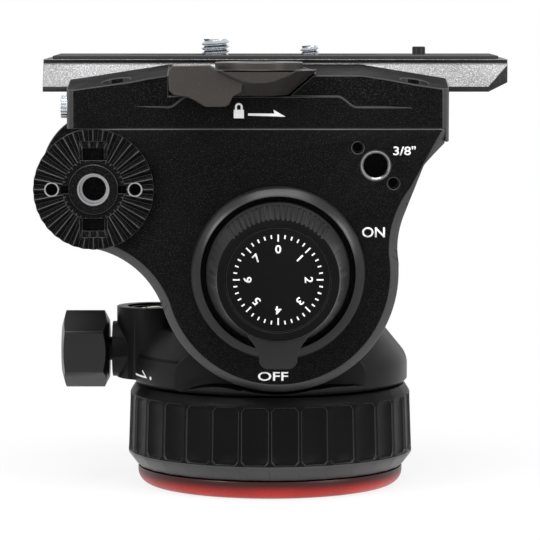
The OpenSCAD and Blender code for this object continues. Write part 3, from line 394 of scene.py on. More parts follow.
class Effects:
    """Surface effects that several finishes share, each a node group that is built once."""

    COLOUR = "NodeSocketColor"
    VALUE = "NodeSocketFloat"

    @classmethod
    def grain(cls) -> Tree:
        """Grained coat: pits and bright specks in a base colour."""
        found = bpy.data.node_groups.get("coat_grain")
        if found:
            return found
        wires, start, end = new_group("coat_grain", [
            ("Base", cls.COLOUR, (0.01, 0.01, 0.01, 1)),
            ("Speck", cls.COLOUR, (0.1, 0.1, 0.1, 1)),
            ("Scale", cls.VALUE, 2200.0),
            ("Specks from", cls.VALUE, 0.62),
            ("Specks to", cls.VALUE, 0.78),
        ], [("Color", cls.COLOUR), ("Height", cls.VALUE)])
        place = wires.place()
        fine = wires.noise(place, start["Scale"], 3.0)
        other = wires.noise(place, wires.math("MULTIPLY", start["Scale"], 0.61), 1.0)
        specks = wires.add("ShaderNodeMapRange", interpolation_type="SMOOTHSTEP", in_0=other,
                           in_1=start["Specks from"], in_2=start["Specks to"]).outputs[0]
        broad = wires.ramp(wires.noise(place, 38.0, 3.0), 0.3, 0.7)
        shade = wires.math("MULTIPLY_ADD", broad, 0.3)
        shade.node.inputs[2].default_value = 0.85
        tone = wires.add("ShaderNodeMix", data_type="RGBA", blend_type="MULTIPLY", in_0=1.0,
                         in_6=start["Base"], in_7=shade).outputs[2]
        wires.feed(end["Color"], wires.blend(specks, tone, start["Speck"]))
        wires.feed(end["Height"], fine)
        return wires.tree

    @classmethod
    def handling(cls) -> Tree:
        """Uneven gloss left by hands and dust."""
        found = bpy.data.node_groups.get("handling")
        if found:
            return found
        wires, start, end = new_group("handling", [
            ("Low", cls.VALUE, 0.35), ("High", cls.VALUE, 0.5), ("Scale", cls.VALUE, 55.0),
        ], [("Roughness", cls.VALUE)])
        cloud = wires.ramp(wires.noise(wires.place(), start["Scale"], 5.0), 0.28, 0.72)
        wires.feed(end["Roughness"],
                   wires.add("ShaderNodeMapRange", in_0=cloud, in_3=start["Low"],
                             in_4=start["High"]).outputs[0])
        return wires.tree

    @classmethod
    def turning(cls) -> Tree:
        """Fine lathe and brush lines, which run across the stretch."""
        found = bpy.data.node_groups.get("turning")
        if found:
            return found
        wires, start, end = new_group("turning", [
            ("Stretch", "NodeSocketVector", (400.0, 400.0, 9000.0)), ("Depth", cls.VALUE, 0.5),
        ], [("Height", cls.VALUE)])
        moved = wires.add("ShaderNodeVectorMath", operation="MULTIPLY", in_0=wires.place(),
                          in_1=start["Stretch"]).outputs[0]
        lines = wires.noise(moved, 1.0, 2.0)
        wires.feed(end["Height"], wires.math("MULTIPLY", lines, start["Depth"]))
        return wires.tree


@dataclass(frozen=True)
class Finish:
    """A surface finish, with plain values, the grain that it shows, and any painted shade by height."""

    name: str
    colour: Colour
    speck: Colour
    rough: tuple[float, float] = (0.4, 0.5)
    metal: float = 0.0
    gloss: float = 0.5
    scale: float = 5200.0
    specks: tuple[float, float] = (0.62, 0.78)
    bump: float = 0.1
    depth: float = 0.00004
    coat: float = 0.0
    lines: Optional[Point] = None
    # Painted shade by height: from and to heights in mm, and the shade colour that the colour darkens to.
    shade: Optional[tuple[float, float, Colour]] = None

    def material(self) -> bpy.types.Material:
        """Builds the finish once, and gives it again when asked again."""
        found = bpy.data.materials.get(self.name)
        if found:
            return found
        material = bpy.data.materials.new(self.name)
        material.use_nodes = True
        wires = Wires(material.node_tree)
        shader = material.node_tree.nodes["Principled BSDF"]
        grain = wires.effect(Effects.grain(), {
            "Base": (*self.colour, 1.0), "Speck": (*self.speck, 1.0), "Scale": self.scale,
            "Specks from": self.specks[0], "Specks to": self.specks[1],
        })
        touch = wires.effect(Effects.handling(), {"Low": self.rough[0], "High": self.rough[1]})
        height = grain.outputs["Height"]
        if self.lines is not None:
            turned = wires.effect(Effects.turning(), {"Stretch": self.lines})
            height = wires.math("ADD", height, turned.outputs["Height"])
        bump = wires.fill(wires.add("ShaderNodeBump"), {
            "Strength": self.bump, "Distance": self.depth, "Height": height,
        })
        colour = grain.outputs["Color"]
        # Painted shade: darkens the colour from the lower height up to the upper one.
        if self.shade is not None:
            low, high, dark = self.shade
            level = wires.add("ShaderNodeSeparateXYZ", in_0=wires.place()).outputs[2]
            colour = wires.blend(wires.ramp(level, low * MM, high * MM), colour, (*dark, 1.0))
        wires.fill(shader, {
            "Base Color": colour, "Roughness": touch.outputs["Roughness"], "Normal": bump.outputs["Normal"],
            "Metallic": self.metal, "Specular IOR Level": self.gloss, "Coat Weight": self.coat,
        })
        material.diffuse_color = (*self.colour, 1.0)
        return material


class Paint(Enum):
    """The finishes of this head."""

    COAT = Finish("grained_black_coat", (0.0020, 0.0019, 0.0022), (0.044, 0.043, 0.041), (0.42, 0.56),
                  gloss=0.04, scale=5600.0, specks=(0.52, 0.86), bump=0.4, depth=0.00005)
    # Painted highlight: a lighter copy of the coat for eased edges.
    COAT_EDGE = Finish("grained_black_coat_edge_highlight", (0.024, 0.0235, 0.024), (0.050, 0.049, 0.050),
                       (0.32, 0.44), gloss=0.34, specks=(0.52, 0.82))
    # Painted highlight: a light line on the cheeks' top chamfer under the clamp, where it catches the light.
    COAT_SEAM = Finish("coat_seam_painted_highlight", (0.11, 0.108, 0.105), (0.20, 0.197, 0.19), (0.3, 0.4), metal=0.3)
    # Painted shadow: near-black coat for the floor of the cheeks' sweep cut, where shade falls.
    SHADOW = Finish("painted_shadow_black_coat", (0.0022, 0.0022, 0.0024), (0.004, 0.004, 0.0042), (0.5, 0.6),
                    gloss=0.02, bump=0.05)
    # Painted sheen: a lighter copy of the coat for wide bevels and round ends that catch light from the
    # lamps and the floor.
    COAT_BAND = Finish("grained_black_coat_painted_sheen", (0.030, 0.029, 0.031), (0.052, 0.051, 0.053),
                       (0.34, 0.46), gloss=0.36, specks=(0.52, 0.82), bump=0.2)
    SATIN = Finish("dark_satin_coat", (0.0060, 0.0059, 0.0062), (0.010, 0.010, 0.0105), (0.34, 0.46),
                   gloss=0.13, bump=0.08)
    DIAL = Finish("satin_dial_coat", (0.0095, 0.0091, 0.0094), (0.017, 0.0165, 0.017), (0.27, 0.36),
                  gloss=0.28, scale=4600.0)
    # Painted sheen: a lighter copy of the plastic for the drag ring's lower band and the dial's side, which
    # catch light from the floor and lamps.
    GRIP_BAND = Finish("satin_black_plastic_painted_sheen", (0.030, 0.029, 0.030), (0.040, 0.039, 0.040),
                       (0.3, 0.4), bump=0.05)
    GRIP = Finish("satin_black_plastic", (0.0032, 0.0032, 0.0036), (0.0060, 0.0060, 0.0065), (0.33, 0.44),
                  gloss=0.06, bump=0.08)
    # Painted highlight: a lighter copy of the plastic for eased edges and the ridges of the drag ring's
    # panels.
    GRIP_EDGE = Finish("satin_black_plastic_edge_highlight", (0.017, 0.017, 0.0176), (0.025, 0.025, 0.026),
                       (0.3, 0.4), gloss=0.34, bump=0.05)
    # Painted shade: the top of the red base darkens where the drag ring above it shades it.
    RED = Finish("red_anodised_painted_shade", (0.46, 0.026, 0.019), (0.56, 0.06, 0.048), (0.28, 0.4), gloss=0.3,
                 scale=2500.0, bump=0.06, lines=(60.0, 60.0, 9000.0),
                 shade=(1.3, 5.2, (0.030, 0.001, 0.001)))
    PEWTER = Finish("pewter_coat", (0.034, 0.030, 0.0275), (0.050, 0.045, 0.042), (0.3, 0.4), metal=0.35,
                    gloss=0.33, scale=2400.0)
    PLATE = Finish("blasted_anodised", (0.012, 0.0118, 0.0125), (0.05, 0.05, 0.052), (0.36, 0.48),
                   metal=0.2, gloss=0.2, scale=4600.0, specks=(0.5, 0.78), bump=0.3, depth=0.00005)
    # Painted highlight: a much lighter copy of the plate's finish for its slopes that face up towards the
    # lamps.
    PLATE_SLOPE = Finish("blasted_anodised_slope_highlight", (0.13, 0.129, 0.131), (0.38, 0.38, 0.384),
                         (0.34, 0.46), metal=0.35, gloss=0.4, scale=5600.0, specks=(0.44, 0.72),
                         bump=0.35, depth=0.00005)
    # Painted highlight: a lighter copy of the plate's finish for its eased edges.
    PLATE_EDGE = Finish("blasted_anodised_edge_highlight", (0.024, 0.024, 0.025), (0.05, 0.05, 0.052), (0.3, 0.4),
                        metal=0.3, gloss=0.3, scale=4600.0, bump=0.05)
    BUSH = Finish("darkened_steel", (0.34, 0.342, 0.35), (0.44, 0.44, 0.45), (0.2, 0.3), metal=1.0,
                  scale=1800.0, bump=0.06)
    STEEL = Finish("machined_steel", (0.58, 0.585, 0.60), (0.68, 0.685, 0.70), (0.24, 0.36), metal=1.0,
                   scale=1800.0, bump=0.08, lines=(300.0, 9000.0, 300.0))
    SPRING = Finish("spring_steel", (0.40, 0.40, 0.41), (0.5, 0.5, 0.51), (0.3, 0.45), metal=1.0,
                    scale=1600.0)
    OXIDE = Finish("black_oxide", (0.010, 0.010, 0.011), (0.022, 0.022, 0.023), (0.34, 0.46), metal=0.2,
                   gloss=0.16, scale=2200.0, lines=(300.0, 300.0, 7000.0))
    ZINC = Finish("bright_zinc", (0.50, 0.53, 0.56), (0.60, 0.63, 0.65), (0.16, 0.28), metal=1.0,
                  scale=1500.0, bump=0.05)
    BRASS = Finish("plain_brass", (0.62, 0.46, 0.20), (0.7, 0.55, 0.28), (0.25, 0.36), metal=1.0,
                   scale=1500.0, bump=0.06)
    NYLON = Finish("natural_nylon", (0.62, 0.61, 0.56), (0.68, 0.67, 0.63), (0.4, 0.5), gloss=0.4,
                   scale=1500.0)
    RUBBER = Finish("pad_rubber", (0.012, 0.012, 0.012), (0.026, 0.026, 0.026), (0.7, 0.85), gloss=0.2,
                    scale=2600.0, bump=0.5, depth=0.0001)
    PRINT = Finish("light_print", (0.72, 0.72, 0.72), (0.66, 0.66, 0.66), (0.5, 0.6), gloss=0.3,
                   scale=3000.0, bump=0.02)
    LIQUID = Finish("level_liquid", (0.46, 0.60, 0.07), (0.5, 0.64, 0.1), (0.06, 0.1), scale=900.0,
                    bump=0.0, coat=0.5)
    BUBBLE = Finish("level_bubble", (0.80, 0.86, 0.50), (0.84, 0.9, 0.58), (0.05, 0.08), scale=900.0,
                    bump=0.0, coat=0.5)

    def coat(self, piece: Piece, edge: Optional["Paint"] = None) -> None:
        """Gives a piece this finish, and another on the faces of its eased edges, which here is a lighter
        copy that paints highlights there.
        """
        piece.data.materials.clear()
        piece.data.materials.append(self.value.material())
        if edge is not None:
            piece.data.materials.append(edge.value.material())


SLOT_PAINT: dict[str, Paint] = {
    "red_base": Paint.RED, "black_cast": Paint.COAT, "satin_cast": Paint.SATIN, "anodised": Paint.PLATE,
    "pewter": Paint.PEWTER, "steel": Paint.STEEL, "spring_steel": Paint.SPRING, "dark_steel": Paint.OXIDE,
    "zinc": Paint.ZINC, "brass": Paint.BRASS, "inner_plastic": Paint.NYLON, "satin_plastic": Paint.GRIP,
    "pad_rubber": Paint.RUBBER, "vial": Paint.LIQUID,
}


NODE_PAINT: dict[str, Paint] = {
    "rosette_bushes": Paint.BUSH, "rosette_liners": Paint.BUSH, "port_bushes": Paint.BUSH,
}


FLAT_FACED: frozenset[str] = frozenset({"sliding_plate", "plate_pad", "plate_lock_lever", "clamp_body"})


def paint_nodes() -> None:
    """Gives every node its own finish, or that of its material slot."""
    for node, piece in frame["nodes"].items():
        NODE_PAINT.get(node, SLOT_PAINT[slot_of(node)]).coat(piece)


def eased(node: str, paint: Paint, edge: Optional[Paint], width: float, steps: int = 2,
          corner: float = 32.0) -> Piece:
    """Replaces a node by a copy of it with eased edges.

    Args:
        node: The node to copy.
        paint: Finish of its faces.
        edge: Finish of its eased edges, a lighter copy that paints highlights on them, or None for the same
            one.
        width: Width of the easing in mm.
        steps: Number of strips in an easing.
        corner: Angle in degrees from which an edge is eased.

    Returns:
        The new piece, in the node's place.
    """
    piece = Bench.copy(frame["nodes"][node], f"{node}_eased")
    Bench.mend(piece)
    paint.coat(piece, edge)
    Bench.modify(piece, "BEVEL", width=width * MM, segments=steps, limit_method="ANGLE",
                 angle_limit=math.radians(corner), use_clamp_overlap=False, loop_slide=True,
                 material=1 if edge else -1)
    Bench.done(piece)
    if node in FLAT_FACED:
        Bench.modify(piece, "WEIGHTED_NORMAL", mode="FACE_AREA", weight=50, keep_sharp=True)
    return stand_in(piece, node)


def polish(name: str, paint: Paint, test: FaceTest, area: float = 0.0) -> None:
    """Gives the faces of a piece that pass a test another finish.

    Args:
        name: Name of the piece.
        paint: The other finish.
        test: Takes a face's centre and normal, and says whether the face changes.
        area: Size in square mm from which a face changes.
    """
    piece = bpy.data.objects[name]
    piece.data.materials.append(paint.value.material())
    Bench.pick(piece, test, area)
    piece.active_material_index = len(piece.data.materials) - 1
    bpy.ops.object.material_slot_assign()
    Bench.clear()


# Printed marks


class Printer:
    """Makes thin printed marks that lie on a face. Thickness and sinking are in mm, the weld in metres."""

    thick = 0.03
    sunk = 0.02
    weld = 1e-7

    @classmethod
    def lay(cls, piece: Piece, name: str, place: Matrix, body: str) -> Piece:
        """Lays a flat mark on a face.

        Args:
            piece: The mark, drawn in X and Y with its front along +Z.
            name: Name of the piece.
            place: Where the mark goes, with +Z out of the face.
            body: The body that carries the mark.

        Returns:
            The mark, in place.
        """
        Bench.face_out(piece, cls.weld)
        Bench.modify(piece, "SOLIDIFY", thickness=(cls.thick + cls.sunk) * MM, offset=0.0)
        piece.matrix_world = place
        Bench.settle(Bench.name(piece, name))
        Paint.PRINT.coat(piece)
        return fit(piece, body)

    @staticmethod
    def words(text: str, size: float, wide: float = 1.0, heavy: float = 0.0) -> Piece:
        """Sets plain characters.

        Args:
            text: The characters.
            size: Height of the type in mm.
            wide: Width of the type against its height.
            heavy: Thickening of the strokes in mm.

        Returns:
            A flat mesh, centred on the origin.
        """
        Bench.clear()
        bpy.ops.object.text_add()
        piece = bpy.context.object
        piece.data.body = text
        piece.data.size = size * MM
        piece.data.align_x = "CENTER"
        piece.data.align_y = "CENTER"
        piece.data.offset = heavy * MM
        piece.data.resolution_u = 4
        piece.scale = (wide, 1.0, 1.0)
        bpy.ops.object.convert(target="MESH")
        return Bench.settle(bpy.context.object)

    @staticmethod
    def shape(corners: Sequence[tuple[float, float]]) -> Piece:
        """Cuts a flat shape from its corners in mm, in order round it."""
        piece = Bench.outline([(x, y, 0.0) for x, y in corners], closed=True)
        Bench.open(piece)
        bpy.ops.mesh.edge_face_add()
        Bench.clear()
        return piece


def arc(radius: float, start: float, end: float, count: int,
        centre: tuple[float, float] = (0.0, 0.0)) -> list[tuple[float, float]]:
    """Points on an arc, in mm, from one angle to another in degrees."""
    steps = [math.radians(start + (end - start) * i / (count - 1)) for i in range(count)]
    return [(centre[0] + radius * math.cos(a), centre[1] + radius * math.sin(a)) for a in steps]


def near_face(x: float, half: float, z: float) -> Matrix:
    """Place on a face towards -Y, at half-width half, all in mm."""
    out = half + (Printer.thick - Printer.sunk) / 2
    return Matrix.Translation(Vector((x, -out, z)) * MM) @ Matrix.Rotation(math.pi / 2, 4, "X")


def far_face(x: float, half: float, z: float) -> Matrix:
    """Place on a face towards +Y, at half-width half, all in mm."""
    return Matrix.Rotation(math.pi, 4, "Z") @ near_face(-x, half, z)


# Sub-assemblies


class Assembly:
    """A sub-assembly: its nodes with eased edges, and the pieces made for it here. Measures are in mm."""

    easings: Sequence[tuple] = ()

    def build(self) -> None:
        """Makes the eased copies of this sub-assembly's nodes."""
        for easing in self.easings:
            eased(*easing)

    def dress(self) -> None:
        """Adds what is printed or fitted on top."""


@dataclass
class FlatBase(Assembly):
    """The red base that sits on the tripod."""

    easings: Sequence[tuple] = (("flat_base", Paint.RED, None, 0.3),)


@dataclass
class PanStage(Assembly):
    """Pan housing, lock knob and level."""

    pod: Point = (-39.0, 0.0, 60.0)
    vial_r: float = 7.5
    vial_low: float = 5.0
    vial_top: float = -1.2
    vial_dome: float = 0.7
    vial_rings: int = 5
    bubble_r: float = 2.3
    bubble_flat: float = 0.14
    bubble_sunk: float = 0.15
    ring_sunk: float = 0.1
    ring_r: tuple[float, float] = (3.1, 3.6)
    easings: Sequence[tuple] = (
        ("pan_housing", Paint.SATIN, None, 0.2),
        ("level_bezel", Paint.GRIP, Paint.GRIP_EDGE, 0.3),
    )
    pod_x: float = -30.0
    pod_low: float = 43.5
    pod_rise: float = 0.5
    # Reach, height and least upward normal of the sweep cut's floor that gets painted shadow.
    sweep_y: float = 36.0
    sweep_top: float = 39.5
    sweep_rise: float = 0.25
    skirt_r: float = 46.6
    mark_z: float = 37.9
    mark_at: float = 202.0
    mark_stroke: float = 0.6
    mark_lift: float = 0.03
    knob_x: tuple[float, float] = (-70.5, -54.5)
    knob_z: float = 45.3
    knob_r: float = 13.4
    knob_core: float = 13.05
    knob_domes: Sequence[tuple[float, float, float]] = ((-1.0, 4.6, 1.3), (1.0, 3.2, 1.7))
    knob_soft: float = 0.7

    def build(self) -> None:
        """Makes the eased copies, paints shadow on the floor of the cheeks' sweep cut, and makes the lock
        knob and the domed level.
        """
        super().build()
        polish("pan_housing_eased", Paint.GRIP, lambda centre, normal: centre.x < self.pod_x * MM
               and centre.z > self.pod_low * MM and normal.z < self.pod_rise)
        # Painted shadow on the floor of the cheeks' sweep cut.
        polish("pan_housing_eased", Paint.SHADOW, lambda centre, normal: abs(centre.y) > self.sweep_y * MM
               and centre.z < self.sweep_top * MM and normal.z > self.sweep_rise)
        self.build_knob()
        self.build_vial()
        self.build_bubble()

    def build_knob(self) -> None:
        """Makes the lock knob, a six-sided bar with soft edges cut to a turned core with domed ends."""
        start, end = self.knob_x
        rises = [rise for side, inset, rise in self.knob_domes]
        turn = (math.pi / 2, 0.0, math.pi / 2)
        bar = Bench.cylinder("pan_lock_knob_soft", self.knob_r, 2 * (end - start),
                             ((start + end) / 2, 0.0, self.knob_z), 6, turn)
        Bench.modify(bar, "BEVEL", width=self.knob_soft * MM, segments=3, limit_method="ANGLE",
                     angle_limit=math.radians(35.0))
        core = Bench.cylinder("knob_core", self.knob_core, end - start - sum(rises),
                              ((start + rises[0] + end - rises[1]) / 2, 0.0, self.knob_z), 96, turn)
        for side, inset, rise in self.knob_domes:
            Bench.pick(core, lambda centre, normal: normal.x * side > FACING)
            bpy.ops.mesh.inset(thickness=inset * MM, depth=rise * MM)
        Bench.clear()
        Bench.modify(bar, "BOOLEAN", operation="INTERSECT", object=core, solver="EXACT")
        bpy.data.objects.remove(core)
        Paint.DIAL.coat(bar)
        stand_in(Bench.done(bar), "pan_lock_knob")

    def dress(self) -> None:
        """Prints the arrow and the dot that show which way the drag ring turns."""
        steps = [-6.4 + 0.7 * i for i in range(15)]
        half = self.mark_stroke / 2
        strips = [[(a, -half), (b, -half), (b, half), (a, half)] for a, b in zip(steps, steps[1:])]
        barb = [(steps[-1], -half), (5.2, -half), (1.6, 2.1), (1.0, 1.9), (steps[-1], half)]
        dot = arc(0.6, 0, 330, 12, (7.6, 0.0))
        for name, shapes in (("arrow", strips + [barb]), ("dot", [dot])):
            mark = Bench.join([Printer.shape(corners) for corners in shapes], name)
            for vertex in mark.data.vertices:
                angle = vertex.co.x / MM / self.skirt_r
                vertex.co.x = self.skirt_r * MM * math.sin(angle)
                vertex.co.z = self.skirt_r * MM * (math.cos(angle) - 1)
            turned = Matrix.Rotation(math.radians(self.mark_at + 90.0), 4, "Z")
            place = turned @ near_face(0.0, self.skirt_r + self.mark_lift, self.mark_z)
            Printer.lay(mark, f"skirt_mark_{name}", place, "pan_body")

    def dome(self, r: float) -> float:
        """Height of the vial's domed top at a radius, in mm."""
        return self.pod[2] + self.vial_top + self.vial_dome * (1.0 - (r / self.vial_r) ** 2)

    def build_vial(self) -> None:
        """Makes the vial as a round block with a domed top."""
        x, y, z = self.pod
        low, top = z - self.vial_low, z + self.vial_top
        piece = Bench.cylinder("level_liquid", self.vial_r, top - low, (x, y, (low + top) / 2))
        Bench.pick(piece, lambda centre, normal: normal.z > FACING)
        for step in range(self.vial_rings):
            bpy.ops.mesh.inset(thickness=self.vial_r / (self.vial_rings + 1) * MM, depth=0.0)
        bpy.ops.mesh.merge(type="CENTER")
        Bench.clear()
        for vertex in piece.data.vertices:
            if vertex.co.z > (top - 0.1) * MM:
                r = math.hypot(vertex.co.x - x * MM, vertex.co.y - y * MM) / MM
                vertex.co.z = self.dome(min(r, self.vial_r)) * MM
        Paint.LIQUID.coat(piece)
        stand_in(Bench.done(piece), "level_vial")

    def build_bubble(self) -> None:
        """Makes the bubble and the circle that it is centred in."""
        x, y, z = self.pod
        Bench.clear()
        bpy.ops.mesh.primitive_uv_sphere_add(segments=32, ring_count=12, radius=self.bubble_r * MM,
                                             location=Vector((x, y, self.dome(0.0) - self.bubble_sunk)) * MM)
        piece = Bench.name(bpy.context.object, "level_bubble")
        piece.scale = (1.0, 1.0, self.bubble_flat)
        Bench.settle(piece)
        Paint.BUBBLE.coat(piece)
        fit(Bench.done(piece), "pan_body")
        inner, outer = self.ring_r
        middle = (inner + outer) / 2
        Bench.clear()
        bpy.ops.mesh.primitive_torus_add(major_radius=middle * MM, minor_radius=(outer - inner) / 2 * MM,
                                         major_segments=48, minor_segments=10,
                                         location=Vector((x, y, self.dome(middle) - self.ring_sunk)) * MM)
        circle = Bench.name(bpy.context.object, "level_circle")
        Bench.settle(circle)
        Paint.GRIP.coat(circle)
        fit(Bench.done(circle), "pan_body")


def outward(place: Vector) -> Vector:
    """Direction away from the pan axis at a place."""
    return Vector((place.x, place.y, 0.0)).normalized()


@dataclass
class DragRing(Assembly):
    """The pan drag ring with its grip panels."""

    count: int = 30
    low: float = 6.5
    top: float = 33.9
    radius: float = 48.2
    taper: float = 0.7
    foot: float = 45.2
    edge: float = 46.0
    bevels: tuple[float, float] = (4.3, 2.7)
    bore: float = 36.3
    lip: tuple[float, float] = (38.8, 9.7)
    panel_w: float = 8.9
    panel_depth: float = 0.8
    panel_z: tuple[float, float] = (11.8, 30.8)
    corner: float = 1.3
    rim: Sequence[tuple[float, float]] = ((0.3, 0.0), (0.12, 0.1), (0.0, 0.85), (-0.15, 1.0))
    spare: float = 0.4

    def outer(self, z: float) -> float:
        """Radius of the ring between its bevels at a height, in mm."""
        low, top = self.low + self.bevels[0], self.top - self.bevels[1]
        return self.radius - self.taper * min(1.0, max(0.0, (z - low) / (top - low)))

    def rows(self) -> list[tuple[float, float, float, float]]:
        """Rows of the section from the foot round to the bore: radius, height, panel share, half-width."""
        start, end = self.panel_z
        half, corner = self.panel_w / 2, self.corner
        shelf, brow = self.low + self.bevels[0], self.top - self.bevels[1]
        below = ((self.foot + 0.1, self.low + 0.35), (self.radius - 0.22, shelf - 0.4),
                 (self.radius, shelf + 0.15))
        rim = [(away, share, half - corner + max(0.0, -away)) for away, share in self.rim]
        panel = [(start - away, share, width) for away, share, width in rim]
        panel += [(start + corner + (end - start - 2 * corner) * i / 5, 1.0, half) for i in range(6)]
        panel += [(end + away, share, width) for away, share, width in reversed(rim)]
        above = ((self.outer(brow) - 0.05, brow + 0.15), (self.edge + 0.25, self.top - 0.6),
                 (self.edge - 0.4, self.top), (self.bore, self.top), (self.bore, self.lip[1]), self.lip,
                 (self.lip[0], self.low), (self.foot - 0.4, self.low))
        return ([(r, z, 0.0, half) for r, z in below]
                + [(self.outer(z), z, share, width) for z, share, width in panel]
                + [(r, z, 0.0, half) for r, z in above])

    def columns(self, width: float, flat: float) -> list[tuple[float, float]]:
        """Columns of one panel with its ridge: angle in radians and share of the panel's depth."""
        side = math.atan2(width, flat)
        steps = [(side + away / flat, share) for away, share in self.rim]
        return [(-angle, share) for angle, share in steps] + steps[::-1]

    def build(self) -> None:
        """Shapes the ring panel by panel, and paints highlights on the panels' ridges and a reflection of
        the floor on the band below them.
        """
        rows = self.rows()
        each = 2 * len(self.rim)

        def place(column: int, row: int) -> Vector:
            """Corner of the ring in mm."""
            panel, step = divmod(column, each)
            radius, z, share, width = rows[row]
            flat = radius - self.panel_depth
            angle, depth = self.columns(width, flat)[step]
            r = radius - share * depth * max(0.0, radius - flat / math.cos(angle))
            turn = angle + 2 * math.pi * panel / self.count
            return Vector((r * math.cos(turn), r * math.sin(turn), z))

        piece = Bench.ring("pan_drag_ring_panelled", self.count * each, len(rows), place)
        Paint.GRIP.coat(piece)
        low, top = self.panel_z[0] - self.spare, self.panel_z[1] + self.spare
        # Painted highlights on the walls of the panels' ridges.
        polish(piece.name, Paint.GRIP_EDGE, lambda centre, normal: low < centre.z / MM < top
               and abs(normal.dot(outward(centre))) < FACING)
        # Painted reflection of the floor on the band below the panels.
        polish(piece.name, Paint.GRIP_BAND, lambda centre, normal: centre.z / MM < low
               and normal.dot(outward(centre)) > ALONG)
        stand_in(Bench.done(piece), "pan_drag_ring")


@dataclass
class FarControls(Assembly):
    """Tilt drag knob and tilt lock lever on the far side."""

    easings: Sequence[tuple] = (
        ("tilt_drag_knob", Paint.GRIP, Paint.GRIP_EDGE, 0.3),
        ("drag_knob_cap", Paint.GRIP, Paint.GRIP_EDGE, 0.2),
        ("tilt_lock_lever", Paint.GRIP, Paint.GRIP_EDGE, 0.8, 3),
    )


@dataclass
class Cage(Assembly):
    """The two cheeks with rosettes, bezel, ports and their marks."""

    easings: Sequence[tuple] = (
        ("near_cheek", Paint.COAT, Paint.COAT_EDGE, 0.35),
        ("far_cheek", Paint.COAT, Paint.COAT_EDGE, 0.35),
        ("near_rosette", Paint.COAT, Paint.COAT_EDGE, 0.1, 1),
        ("far_rosette", Paint.COAT, Paint.COAT_EDGE, 0.1, 1),
    )
    bezel: Sequence[tuple[float, float]] = (
        (25.0, 46.0), (28.4, 46.0), (28.4, 47.8), (28.2, 48.3), (27.4, 49.0), (26.4, 49.75), (25.6, 50.3),
        (25.2, 50.45), (25.0, 50.2),
    )
    bezel_steps: int = 128
    # Normal along Y and least area in square mm of the cheek bevels with painted sheen; normal along Y and
    # least height in mm of the top chamfer with a painted highlight.
    band: tuple[float, float] = (0.3, 0.95)
    band_area: float = 0.5
    seam: tuple[float, float] = (0.2, 0.98)
    seam_z: float = 120.0
    marks: Sequence[tuple[str, str, float, float, float, float, float]] = (
        ("on", "ON", 4.6, 1.07, 0.07, 33.7, 88.1), ("off", "OFF", 4.05, 1.42, 0.05, 0.95, 41.0),
        ("thread_size", '3/8"', 3.9, 1.2, 0.06, 43.6, 114.6),
    )

    def build(self) -> None:
        """Makes the eased copies and the bezel, and paints sheen on the wide bevels round the cheeks and a
        highlight along their top chamfer.
        """
        super().build()
        for cheek in ("near_cheek_eased", "far_cheek_eased"):
            # Painted sheen on the wide bevels round the cheeks.
            polish(cheek, Paint.COAT_BAND,
                   lambda centre, normal: self.band[0] < abs(normal.y) < self.band[1], self.band_area)
            # Painted highlight on the cheeks' top chamfer under the clamp.
            polish(cheek, Paint.COAT_SEAM, lambda centre, normal: centre.z > self.seam_z * MM
                   and self.seam[0] < abs(normal.y) < self.seam[1] and normal.z > ALONG)
        self.build_bezel()

    def build_bezel(self) -> None:
        """Shapes the raised ring round the dial, with a sloping outer band."""
        def place(column: int, row: int) -> Vector:
            """Corner of the bezel in mm."""
            radius, out = self.bezel[row]
            turn = 2 * math.pi * column / self.bezel_steps
            return Vector((DIAL_AXIS[0] + radius * math.cos(turn), -out,
                           DIAL_AXIS[1] + radius * math.sin(turn)))

        piece = Bench.ring("dial_bezel_rounded", self.bezel_steps, len(self.bezel), place)
        Paint.DIAL.coat(piece)
        stand_in(Bench.done(piece, STEEP), "dial_bezel")

    def dress(self) -> None:
        """Prints the switch words and the thread size on the near cheek, and the size on the far one."""
        for side, face, marks in (("near", near_face, self.marks), ("far", far_face, self.marks[-1:])):
            for label, words, size, wide, heavy, x, z in marks:
                Printer.lay(Printer.words(words, size, wide, heavy), f"{side}_mark_{label}",
                            face(x, CHEEK_HALF, z), "cage")


